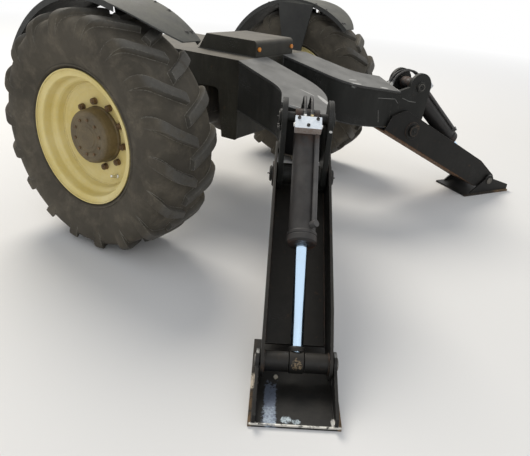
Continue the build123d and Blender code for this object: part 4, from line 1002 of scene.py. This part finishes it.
def tyre(name, side):
    """The carcass, and on it two rows of curved lugs, each with its own wear and roughness."""
    rng = random.Random(5 if side < 0 else 9)
    half = smoothed(CARCASS) + smoothed(BEAD) + smoothed(INSIDE)
    loop = half + [(-a, r) for a, r in reversed(half[1:-1])]
    verts = []
    for i in range(TYRE_STEPS):
        angle = 2 * pi * i / TYRE_STEPS
        for a, r in loop:
            wave = 0.0008 * noise.noise(Vector((a * 30, sin(angle) * 9, cos(angle) * 9))) if r > 0.36 else 0
            verts.append(wheel_point(side, a, r + wave, angle))
    carcass = mesh_object(f"carcass_{name}", verts, grid(TYRE_STEPS, len(loop), True, True))
    verts, faces = [], []
    stations = smoothed(STATIONS)
    for hand in (-1, 1):
        for number in range(LUGS_A_ROW):
            middle = 2 * pi * (number + (0.25 if hand > 0 else 0.75)) / LUGS_A_ROW
            wear = rng.uniform(-0.0015, 0.0006)
            faces += grid(len(stations), LUG_SECTION, base=len(verts), ends=True)
            for k, (foot, foot_r, head, head_r, sweep, w) in enumerate(stations):
                flank = [
                    (foot, foot_r - 0.006, w + 0.009),
                    (foot * 0.35 + head * 0.65, foot_r * 0.35 + head_r * 0.65, w + 0.002),
                    (head, head_r - 0.0035, w), (head, head_r - 0.0008, w - 0.004),
                ]
                section = [(a, r, -across) for a, r, across in flank] + [(head, head_r, 0.0)] + flank[::-1]
                for q, (a, r, across) in enumerate(section):
                    if 2 <= q <= 6:
                        rough = 0.0016 * noise.noise(Vector((number * 3.1 + hand, k * 0.5, q * 0.7))) + wear
                        r = min(r + rough, 0.5999)
                        a = min(a, 0.1968)
                    shift = 0.0012 * noise.noise(Vector((k * 0.8, number, q)))
                    angle = middle + (sweep + across + shift) / 0.6
                    verts.append(wheel_point(side, hand * side * a, r, angle))
    obj = joined(f"tyre_tread_{name}", [carcass, mesh_object(f"lugs_{name}", verts, faces)])
    keep(sharpen(obj, 44), f"wheel_{name}", "tyre_rubber", tyre_mat, f"tyre_{name}")


def rim(name, side):
    """The rim, the weld between its disc and well, and the valve stem through the well."""
    body = f"wheel_{name}"
    profile = rounded(RIM_PROFILE + RIM_PROFILE[:1], 0.0035, 3)[:-1]
    obj = turned(f"rim_turned_{name}", wheel_place(side, 0), (0, side, 0), profile, 168, True)
    keep(sharpen(obj, 50), body, "rim_paint", rim_mat, f"rim_{name}")
    ring = [wheel_place(side, *RIM_WELD, 2 * pi * i / 90) for i in range(91)]
    keep(bead(f"rim_weld_{name}", ring, 0.0042, 3), body, "rim_paint", rim_mat)
    way = Vector((-cos(STEM_ANGLE) * 0.25, side * 0.9, -sin(STEM_ANGLE) * 0.25)).normalized()
    foot = wheel_place(side, 0.043, 0.2250, STEM_ANGLE) - way * 0.006
    keep(sharpen(lathe(f"valve_stem_{name}", foot, way, STEM, 0.8, 24)), body, "nut_steel", zinc_mat)


def hub(name, side):
    """The hub, back to the depth of its solid, with the screws of its end cover."""
    body, out = f"wheel_{name}", (0, side, 0)
    deep = 1000 * (min(abs(corner.y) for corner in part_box(f"hub_{name}")) - TRACK)
    profile = [(deep, 0), (deep, 152)] + HUB_PROFILE
    obj = lathe(f"hub_turned_{name}", wheel_place(side, 0), out, profile, 4, 128, bends=3)
    keep(sharpen(obj, 40), body, "hub_paint", hub_mat, f"hub_{name}")
    parts = []
    for i in range(10):
        angle = 2 * pi * i / 10 + 0.2
        place = wheel_place(side, 0.1258, HUB_SCREW_CIRCLE, angle)
        parts.append(hex_prism("hub_screw", place, out, 0.014, 0.0058, angle))
    keep(joined(f"hub_screws_{name}", parts), body, "nut_steel", nut_mat)


def wheel_nuts(name, side):
    """Ten nuts, each on a cone and with its stud's end, counted from the front towards the top."""
    out = Vector((0, side, 0))
    parts = []
    for i in range(10):
        angle = radians(26.5 + 36 * i)
        place = wheel_place(side, NUT_SEAT, NUT_CIRCLE, angle)
        stud = mm([(18, 0), (18, 8.5), (24.5, 8.5), (25.8, 7), (25.8, 0)])
        parts += [
            lathe("cone", place, out, [(0, 0), (0, 16.8), (3.5, 16.8), (6.5, 15), (6.5, 0)], 0.8, 30),
            hex_prism("nut", place + out * 0.006, out, 0.0290, 0.0150, angle * 1.7),
            turned("stud", place, out, stud, 20),
        ]
    keep(joined(f"nuts_{name}", parts), f"wheel_{name}", "nut_steel", nut_mat, f"wheel_nuts_{name}")


for name, side in SIDES:
    tyre(name, side)
    rim(name, side)
    hub(name, side)
    wheel_nuts(name, side)


# CAD nodes that stay as they are but for their rounded edges

for slot_, material, rows in (
    ("frame_paint", frame_mat, (
        ("frame_deck", 0.002), ("frame_belly", 0.002), ("frame_front", 0.002), ("frame_nose", 0.004),
        ("rear_bulkhead", 0.0015), ("frame_side_left", 0.002), ("frame_side_right", 0.002),
    )),
    ("axle_iron", axle_mat, (("axle_beam", 0.004), ("axle_saddles", 0.005), ("steering_cylinder", 0.002))),
    ("reflector", amber_mat, (("nose_reflectors", 0.0015),)),
):
    for node, width in rows:
        dressed(node, "frame", slot_, material, width)
dressed("steering_rod", "steering_rod", "chrome_rod", steer_mat, 0.002)
for name, side in SIDES:
    dressed(f"knuckle_{name}", f"knuckle_{name}", "axle_iron", axle_mat, 0.004)
    dressed(f"mudguard_{name}", f"knuckle_{name}", "mudguard_plastic", guard_mat, 0.002)
    dressed(f"arm_{name}", "frame", "arm_paint", arm_mat, 0.003)
    dressed(f"arm_plate_{name}", "frame", "arm_paint", plate_dust_and_sheen_mat, 0.0025)
    dressed(f"arm_lugs_{name}", "frame", "arm_paint", lug_mat, 0.003)
    dressed(f"leg_{name}", f"leg_{name}", "arm_paint", leg_mat, 0.0025)
    dressed(f"foot_{name}", f"foot_{name}", "arm_paint", foot_mat, 0.0025)
    dressed(f"feed_pipe_{name}", f"barrel_{name}", "barrel_paint", pipe_lightened_mat, 0.001)


# Stabiliser cylinders

SHELL = [
    (20, 26), (20, 50), (30, 56), (40, 57.4), (46, 57.4), (48, 56), (50, 57.4), (580, 57.4),
    (580, 62.6), (584, 63.8), (594, 63.8), (595, 61.8), (598, 61.8), (599, 63.8), (622.5, 63.8),
    (631.5, 56), (631.5, 30), (625, 26.2), (590.5, 26), (580, 46), (135, 46), (130, 26),
]
BARREL_EYE = [(0, 25.6), (0, 40.5), (2, 41.8), (110, 41.8), (112, 40.5), (112, 25.6)]
WIPER = [(630, 25.3), (630, 33), (631.8, 33), (631.8, 25.3)]
ROD_EYE = [(0, 0), (0, 40), (3, 41.9), (53, 41.9), (56, 40), (56, 0)]
SCREW = [(0, 0), (0, 7.2), (1.2, 7.8), (5.5, 7.8), (6.6, 7), (6.6, 4.2), (2.2, 3.8), (2.2, 0)]
VALVE_START = 0.062
VALVE_LENGTH = 0.063
VALVE_WIDTH = 0.118
VALVE_FOOT = 0.0578
VALVE_TOP = 0.1038


def barrel_and_rod(name, side):
    """The bored barrel with its eye and the gland's pale wiper ring, and the rod with its eye and collar."""
    barrel, rod = f"barrel_{name}", f"rod_{name}"
    along, across, _ = line_axes(side, CYL_AXIS)
    pin = on_cylinder(side)
    end = CYL_LENGTH * 1000
    shell = lathe(f"barrel_tube_{name}", pin, along, SHELL, 1.2, 96, True)
    keep(sharpen(shell, 40), barrel, "barrel_paint", barrel_mat, barrel)
    eye = lathe(f"barrel_eye_{name}", pin - across * 0.056, across, BARREL_EYE, 1, 72, True)
    keep(sharpen(eye), barrel, "barrel_paint", barrel_mat, barrel)
    keep(lathe(f"wiper_{name}", pin, along, WIPER, 0.6, 60, True), barrel, "hose_rubber", hose_mat)
    profile = [(510, 0), (510, 24), (512, 24.95), (end - 30, 24.95), (end - 30, 0)]
    keep(sharpen(lathe(f"rod_bar_{name}", pin, along, profile, 1, 64)), rod, "chrome_rod", sky_tinted_chrome_mat, rod)
    eye = lathe(f"rod_eye_{name}", on_cylinder(side, CYL_LENGTH) - across * 0.028, across, ROD_EYE, 1.5, 64)
    keep(sharpen(eye), rod, "arm_paint", leg_mat, rod)
    profile = [(end - 56, 24.5), (end - 56, 29), (end - 50, 33), (end - 36, 34.5), (end - 36, 24.5)]
    keep(sharpen(lathe(f"rod_collar_{name}", pin, along, profile, 2, 48, True)), rod, "arm_paint", leg_mat)


def valve_block(name, side):
    """The valve block with its three cap screws, two hose fittings and two side plugs."""
    body = f"barrel_{name}"
    along, across, up = line_axes(side, CYL_AXIS)
    block = slab(
        f"valve_body_{name}", on_cylinder(side, VALVE_START, -VALVE_WIDTH / 2, VALVE_FOOT),
        along * VALVE_LENGTH, across * VALVE_WIDTH, up * (VALVE_TOP - VALVE_FOOT), 0.0022,
    )
    keep(sharpen(block, 50), body, "valve_alloy", valve_mat, f"valve_block_{name}")
    screws = [
        lathe("screw", on_cylinder(side, VALVE_START + s, v, VALVE_TOP - 0.0006), up, SCREW, 0.6, 26)
        for s, v in ((0.012, -0.041), (0.012, 0.041), (0.048, 0.0))
    ]
    keep(sharpen(joined(f"valve_screws_{name}", screws)), body, "nut_steel", bolt_mat)
    for mark, v, plated in (("a", -0.0155, zinc_mat), ("b", 0.0155, brass_mat)):
        seat = on_cylinder(side, VALVE_START + 0.001, v, 0.0808)
        neck = mm([(8, 0), (8, 7.2), (11.5, 7.2), (11.5, 0)])
        fitting = [
            hex_prism("nut", seat, -along, 0.0200, 0.0090, 0.3),
            turned("neck", seat, -along, neck, 24),
            hex_prism("swivel", seat - along * 0.0115, -along, 0.0190, 0.0110, 0.8),
        ]
        fitting = joined(f"valve_fitting_{name}_{mark}", fitting)
        keep(fitting, body, "nut_steel", plated, f"valve_block_{name}")
    for hand in (-1, 1):
        seat = on_cylinder(side, VALVE_START + 0.034, hand * (VALVE_WIDTH / 2 - 0.0005), 0.080)
        plug = hex_prism(f"valve_plug_{name}_{hand + 1}", seat, across * hand, 0.017, 0.006, 0.2)
        keep(plug, body, "nut_steel", zinc_mat)


for name, side in SIDES:
    barrel_and_rod(name, side)
    valve_block(name, side)


# Welds, pins and fasteners

WELD_X = FRAME_FRONT_X + 0.002
SEAM_ROUTES = (
    ((-0.316, 0.762), (-0.179, 0.753), (-0.151, 0.725)), ((-0.301, 0.685), (-0.2855, 0.606)),
    ((-0.120, 0.757), (-0.092, 0.748), (-0.058, 0.735), (-0.004, 0.728)),
)


def arm_edge(hand, root_y, bend_y, radius):
    """Plan points of an arm's long edge on the left side, from the frame to the arm's end."""
    v = hand * ARM_HALF
    bend_u = (bend_y - LEG_PIN.y + v * sin(SPLAY)) / cos(SPLAY)
    bend = leg_point(1, bend_u, 0, v)
    end = leg_point(1, ARM_END_U, 0, v)
    return fillet_points((FRAME_FRONT_X, root_y), bend.xy, end.xy, radius)


def arm_corners(name, side):
    """The forward corner of the arm and of its top plate, which the solids leave cut square to the frame."""
    for label, half, end_u, low, high, material in (
        ("arm", ARM_HALF + 0.0002, ARM_END_U, arm_low, lambda x: arm_top(x) - 0.001, lug_mat),
        (
            "plate", ARM_HALF + ARM_LIP, ARM_END_U + ARM_LIP, arm_top,
            lambda x: arm_top(x) + ARM_PLATE - 0.0002, plate_dust_and_sheen_mat,
        ),
    ):
        plan = [(-half / tan(SPLAY) - 0.012, half), (end_u, half), (end_u, -end_u * tan(SPLAY) - 0.010)]
        corners = [leg_point(side, u, 0, v) for u, v in plan]
        points = [Vector((p.x, p.y, height(p.x))) for height in (low, high) for p in corners]
        faces = [(0, 1, 2), (3, 5, 4), (0, 3, 4, 1), (1, 4, 5, 2), (2, 5, 3, 0)]
        piece = broken(mesh_object(f"{label}_corner_{name}", points, faces, False), 0.0015)
        keep(sharpen(piece), "frame", "arm_paint", material)


def arm_welds(name, side):
    """Beads along an arm's edges and at the frame, the flush joints by its end, and its sealed seams."""
    parts = []
    for number, (hand, root_y, bend_y, radius) in enumerate(ARM_EDGES):
        plan = arm_edge(hand, root_y, bend_y, radius)
        upper = [Vector((x, side * y, arm_top(x) - 0.002)) for x, y in plan]
        lower = [Vector((x, side * y, arm_low(x) + 0.002)) for x, y in plan]
        v = hand * ARM_HALF
        end_x = leg_point(side, ARM_END_U, 0, v).x
        low, high = arm_low(end_x) + 0.028, arm_top(end_x) - 0.016
        upright = [leg_point(side, ARM_END_U + 0.003, z, v - hand * 0.025) for z in (low, high)]
        parts += [
            bead("upper", upper, 0.0036, 11 + number),
            bead("lower", lower, 0.0042, 21 + number),
            bead("upright", upright, 0.0048, 31 + number),
        ]
        # the joint on the outer face is ground flush
        corner = leg_point(side, ARM_END_U - 0.010, low, v - hand * 0.004)
        edges = out_of(side) * 0.020, across_of(side) * hand * 0.0043, UP * (high - low + 0.001)
        keep(slab(f"arm_joint_{name}_{number}", corner, *edges, 0.0004), "frame", "arm_paint", lug_mat)
    arm_corners(name, side)
    outer_y, inner_y = side * ARM_EDGES[0][1], side * ARM_EDGES[1][1]
    parts.append(bead("front", [(WELD_X, inner_y, ARM_LOW), (WELD_X, inner_y, ARM_TOP)], 0.006, 42))
    parts.append(bead("base", [(WELD_X, outer_y, ARM_LOW), (WELD_X, inner_y, ARM_LOW)], 0.006, 47))
    keep(joined(f"arm_welds_{name}", parts), "frame", "arm_paint", arm_weld_mat)
    # the thin lines of sealed joints on the arm's forward face
    routes = [[leg_point(side, u, z, ARM_HALF) for u, z in route] for route in SEAM_ROUTES]
    seams = [bead("seam", route, 0.0022, 51) for route in routes]
    keep(joined(f"arm_seams_{name}", seams), "frame", "arm_paint", pale_weld_mat)


def pin_end(name, centre, way, radius, ring, ring_mat):
    """The end of a pin: a dark turned face, a ring of the given radius worn on it, and a grease nipple."""
    ring, radius = ring * 1000, radius * 1000
    face = [(0, 0), (0, radius), (1.6, radius), (2.4, radius - 3), (2.4, 0)]
    worn = [(1.2, ring + 3.2), (3.6, ring + 2.4), (3.6, ring - 2), (1.2, ring - 2.8)]
    nipple = [(0, 0), (0, 4.4), (4, 4.4), (4.5, 3), (8, 2.8), (10, 3.4), (11.5, 2.8), (12, 0)]
    for label, start, profile, arc, steps, slot, material in (
        ("pin_end", centre, face, 0.5, 56, "arm_paint", lug_mat),
        ("pin_ring", centre, worn, 0.5, 56, "arm_paint", ring_mat),
        ("nipple", centre + way * 0.0012, nipple, 0.4, 20, "nut_steel", bolt_mat),
    ):
        keep(sharpen(lathe(f"{label}_{name}", start, way, profile, arc, steps)), "frame", slot, material)


def lug_pins(name, side):
    """Pin ends on both faces of the lugs, and the bolted keeper bar that stops the upper pin turning."""
    out, across = out_of(side), across_of(side)
    for hand in (-1, 1):
        way = across * hand
        upper, lower = on_cylinder(side, 0, hand * 0.126), on_leg(side, 0, hand * 0.152)
        pin_end(f"upper_{name}_{hand + 1}", upper, way, 0.0330, 0.0215, pin_mat)
        pin_end(f"lower_{name}_{hand + 1}", lower, way, 0.0365, 0.0300, leg_weld_mat)
        if hand < 0:
            # bar under the rear cap, with two bolts into the lug
            middle = on_cylinder(side, 0, hand * ARM_HALF) - UP * 0.047
            bar = slab("bar", middle - out * 0.034 - UP * 0.011, out * 0.068, UP * 0.022, way * 0.008, 0.001)
            bar.name = f"keeper_{name}_0"
            keep(sharpen(bar, 30), "frame", "arm_paint", lug_mat)
            bolts = [
                bolt("bolt", middle + out * i * 0.023 + way * 0.008, way, 0.0135, turn=i + 0.3)
                for i in (-1, 1)
            ]
            keep(joined(f"keeper_bolts_{name}_0", bolts), "frame", "nut_steel", bolt_mat)


def leg_welds(name, side):
    """Beads round the leg's rings, along its floor's inner corners and round its boss tubes."""
    across = across_of(side)
    parts = []
    for hand in (-1, 1):
        ring = circle_points(on_leg(side, 0, hand * 0.1345), across, 0.0585)
        floor_line = [on_leg(side, s, hand * 0.1205, -0.0815) for s in (-0.155, 0.845)]
        boss = circle_points(on_leg(side, LEG_LENGTH, hand * 0.1215), across, 0.0390)
        parts += [
            bead("ring", ring, 0.0032, 61),
            bead("floor", floor_line, 0.0040, 62),
            bead("boss", boss, 0.0034, 63),
        ]
    keep(joined(f"leg_welds_{name}", parts), f"leg_{name}", "arm_paint", leg_weld_mat)


def foot_details(name, side):
    """Beads along the foot's cheeks, and the ends of its pin."""
    body = f"foot_{name}"
    profile = [(0, 0), (0, 25.5), (4.5, 25.5), (5.2, 19), (6.8, 18.6), (6.8, 0)]
    parts = []
    for hand in (-1, 1):
        for v in (0.1385, 0.1515):
            line = [leg_point(side, LEG_REACH + u, 0.0155, hand * v) for u in (-0.175, 0.220)]
            parts.append(bead("cheek", line, 0.0036, 71))
        way = across_of(side) * hand
        start = mirrored(FOOT_PIN, side) + way * 0.1572 - way * 0.0055
        collar = lathe(f"foot_pin_{name}_{hand + 1}", start, way, profile, 0.6, 44)
        keep(sharpen(collar), body, "arm_paint", pin_mat)
    keep(joined(f"foot_welds_{name}", parts), body, "arm_paint", foot_mat)


GUARD_INNER = -0.215
# degrees from the front towards the top, and outboard from the mudguard's inner edge
GUARD_BOLTS = (
    (54, 0.018), (54, 0.050), (68, 0.016), (76, 0.016), (104, 0.016), (112, 0.016), (146, 0.018),
    (146, 0.080),
)


def guard_details(name, side):
    """Dome bolts of the mudguard: two near its front end, four over its bracket and two at its rear."""
    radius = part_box(f"mudguard_{name}")[1].z - WHEEL_Z - 0.0006
    profile = [(-1, 0), (-1, 12.5), (1.6, 12.5), (2, 8.5), (6, 6), (7.2, 0)]
    parts = []
    for degree, outboard in GUARD_BOLTS:
        angle = radians(degree)
        place = wheel_place(side, GUARD_INNER + outboard, radius, angle)
        parts.append(lathe("dome", place, (cos(angle), 0, sin(angle)), profile, 0.6, 24))
    keep(sharpen(joined(f"guard_bolts_{name}", parts)), f"knuckle_{name}", "nut_steel", bolt_mat)


ROD_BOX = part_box("steering_rod")
ROD_X = (ROD_BOX[0].x + ROD_BOX[1].x) / 2
ROD_Z = (ROD_BOX[0].z + ROD_BOX[1].z) / 2
COVER = [(90, 0), (90, 120), (129, 120), (132, 116), (132, 98), (150, 86), (164, 60), (167.5, 0)]
GLAND = [(0, 16.5), (0, 37.5), (4, 38.5), (22, 38.5), (25, 37.5), (25, 33), (34, 31), (34, 16.5)]
HOSE_BOSS = [(25, 0), (25, 13), (43, 13), (44, 11), (44, 0)]


def axle_details():
    """The axle housing's cover and bolts, saddle bolts, and the steering cylinder's glands and plugs."""
    front = Vector((AXLE_X, 0, WHEEL_Z))
    forward = (1, 0, 0)
    cover = lathe("housing_cover", front, forward, COVER, 4, 72, bends=3)
    keep(sharpen(cover), "frame", "axle_iron", axle_mat)
    heads = []
    for i in range(12):
        angle = 2 * pi * (i + 0.5) / 12
        place = front + Vector((0.1318, cos(angle) * 0.107, sin(angle) * 0.107))
        heads.append(bolt("cover_bolt", place, forward, 0.0150, turn=angle))
    heads.append(hex_prism("filler", front + Vector((0.1590, 0.038, -0.030)), forward, 0.022, 0.010))
    for hand in (-1, 1):
        for offset in (-0.038, 0.038):
            place = Vector((AXLE_X - 0.118, hand * 0.250 + offset, WHEEL_Z))
            heads.append(bolt("saddle_bolt", place, (0, 0, -1), 0.024, 0.009))
    keep(joined("axle_bolts", heads), "frame", "nut_steel", bolt_mat)
    rings = []
    for hand in (-1, 1):
        rings.append(lathe("gland", (ROD_X, hand * 0.268, ROD_Z), (0, hand, 0), GLAND, 1.2, 48, True))
        rings.append(lathe("boss", (ROD_X, hand * 0.235, ROD_Z), UP, HOSE_BOSS, 0.8, 28))
    keep(sharpen(joined("steering_glands", rings)), "frame", "axle_iron", axle_mat)
    plugs = [hex_prism("plug", (ROD_X, hand * 0.235, ROD_Z + 0.0435), UP, 0.017, 0.008) for hand in (-1, 1)]
    keep(joined("steering_plugs", plugs), "frame", "nut_steel", zinc_mat)


def knuckle_details(name, side):
    """On each knuckle: the rod's nut, bolts of the mudguard's foot and beads round the king pin's bosses."""
    body = f"knuckle_{name}"
    king = Vector((AXLE_X, side * KING_Y, WHEEL_Z))
    parts = [bolt("rod_nut", (ROD_X, side * (KING_Y - 0.030), WHEEL_Z + 0.013), UP, 0.026, 0.008)]
    for i in range(4):
        angle = pi / 4 + i * pi / 2
        place = king + Vector((cos(angle) * 0.031, sin(angle) * 0.031, 0.158))
        parts.append(bolt("foot_bolt", place, UP, 0.013, turn=angle))
    keep(joined(f"knuckle_bolts_{name}", parts), body, "nut_steel", bolt_mat)
    rings = [(circle_points(king + UP * z, UP, 0.0585), seed) for z, seed in ((0.085, 81), (-0.085, 82))]
    beads = [bead("ring", ring, 0.003, seed) for ring, seed in rings]
    keep(joined(f"knuckle_beads_{name}", beads), body, "axle_iron", axle_mat)


def frame_details():
    """Beads that join the frame's plates: round the nose's foot, up the bulkhead and along its top."""
    low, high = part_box("frame_nose")
    z = low.z + 0.001
    lines = [([(low.x, y, z), (high.x - 0.004, y, z)], 91) for y in (-high.y, high.y)]
    lines.append(([(low.x, -high.y, z), (low.x, high.y, z)], 92))
    low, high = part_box("rear_bulkhead")
    x, edge = high.x + 0.001, abs(high.y) - 0.019
    lines += [([(x, y * edge, low.z + 0.006), (x, y * edge, high.z - 0.024)], 93) for y in (-1, 1)]
    lines.append(([(x, -0.346, high.z - 0.019), (x, 0.346, high.z - 0.019)], 94))
    parts = [bead("frame_bead", line, 0.0045, seed) for line, seed in lines]
    keep(joined("frame_welds", parts), "frame", "frame_paint", arm_weld_mat)


for name, side in SIDES:
    arm_welds(name, side)
    lug_pins(name, side)
    leg_welds(name, side)
    foot_details(name, side)
    guard_details(name, side)
    knuckle_details(name, side)
axle_details()
frame_details()


# Stage and light

bpy.ops.mesh.primitive_plane_add(size=160, location=(0, 0, -0.0005))
floor = bpy.context.object
floor.name = "floor"
ground = Paint("floor_pale", roughness=0.85, base_color=(0.80, 0.79, 0.775))
# far from the object the floor turns to the background's own white, for what the camera sees
fade = ground.length(ground.place).fit(3.5, 13.0) * ground.node("LightPath").outputs["Is Camera Ray"]
white = ground.node("Emission", {"Color": (1.0, 1.0, 1.0), "Strength": 1.0}).outputs["Emission"]
faded = ground.node("MixShader", {0: fade, 1: ground.shader.outputs["BSDF"], 2: white}).outputs["Shader"]
surface = next(n for n in ground.tree.nodes if n.type == "OUTPUT_MATERIAL")
feed(ground.tree, surface.inputs["Surface"], faded)
floor.data.materials.append(ground.material)

world = bpy.data.worlds.new("studio")
bpy.context.scene.world = world
world.use_nodes = True
tree = world.node_tree
tree.nodes.clear()
# the camera, glass and gloss see white, and the object is lit by a softer sky
rays = wire(tree, "LightPath").outputs
either = wire(tree, "Math", {0: rays["Is Camera Ray"], 1: rays["Is Transmission Ray"]}, operation="MAXIMUM")
seen = wire(tree, "Math", {0: either.outputs[0], 1: rays["Is Glossy Ray"]}, operation="MAXIMUM")
sky = wire(tree, "Background", {"Color": (0.93, 0.96, 1.0), "Strength": 0.50})
backdrop = wire(tree, "Background", {"Color": (1.0, 1.0, 1.0), "Strength": 1.0})
chosen = wire(tree, "MixShader", {0: seen.outputs[0], 1: sky.outputs[0], 2: backdrop.outputs[0]})
wire(tree, "OutputWorld", {"Surface": chosen.outputs[0]})


def lamp(name, place, target, size, power, colour):
    data = bpy.data.lights.new(name, "AREA")
    data.shape = "DISK"
    data.size = size
    data.energy = power
    data.color = colour
    obj = placed(name, data)
    obj.location = place
    obj.rotation_euler = (Vector(target) - Vector(place)).to_track_quat("-Z", "Y").to_euler()


lamp("key", (-7.0, 3.4, 10.1), (0.1, -0.3, 0.3), 6.4, 1160, (1.0, 0.95, 0.86))
lamp("fill", (7.1, -8.0, 6.7), (0.1, -0.4, 0.5), 8.0, 300, (0.93, 0.96, 1.0))

bpy.context.scene.view_settings.view_transform = "Standard"
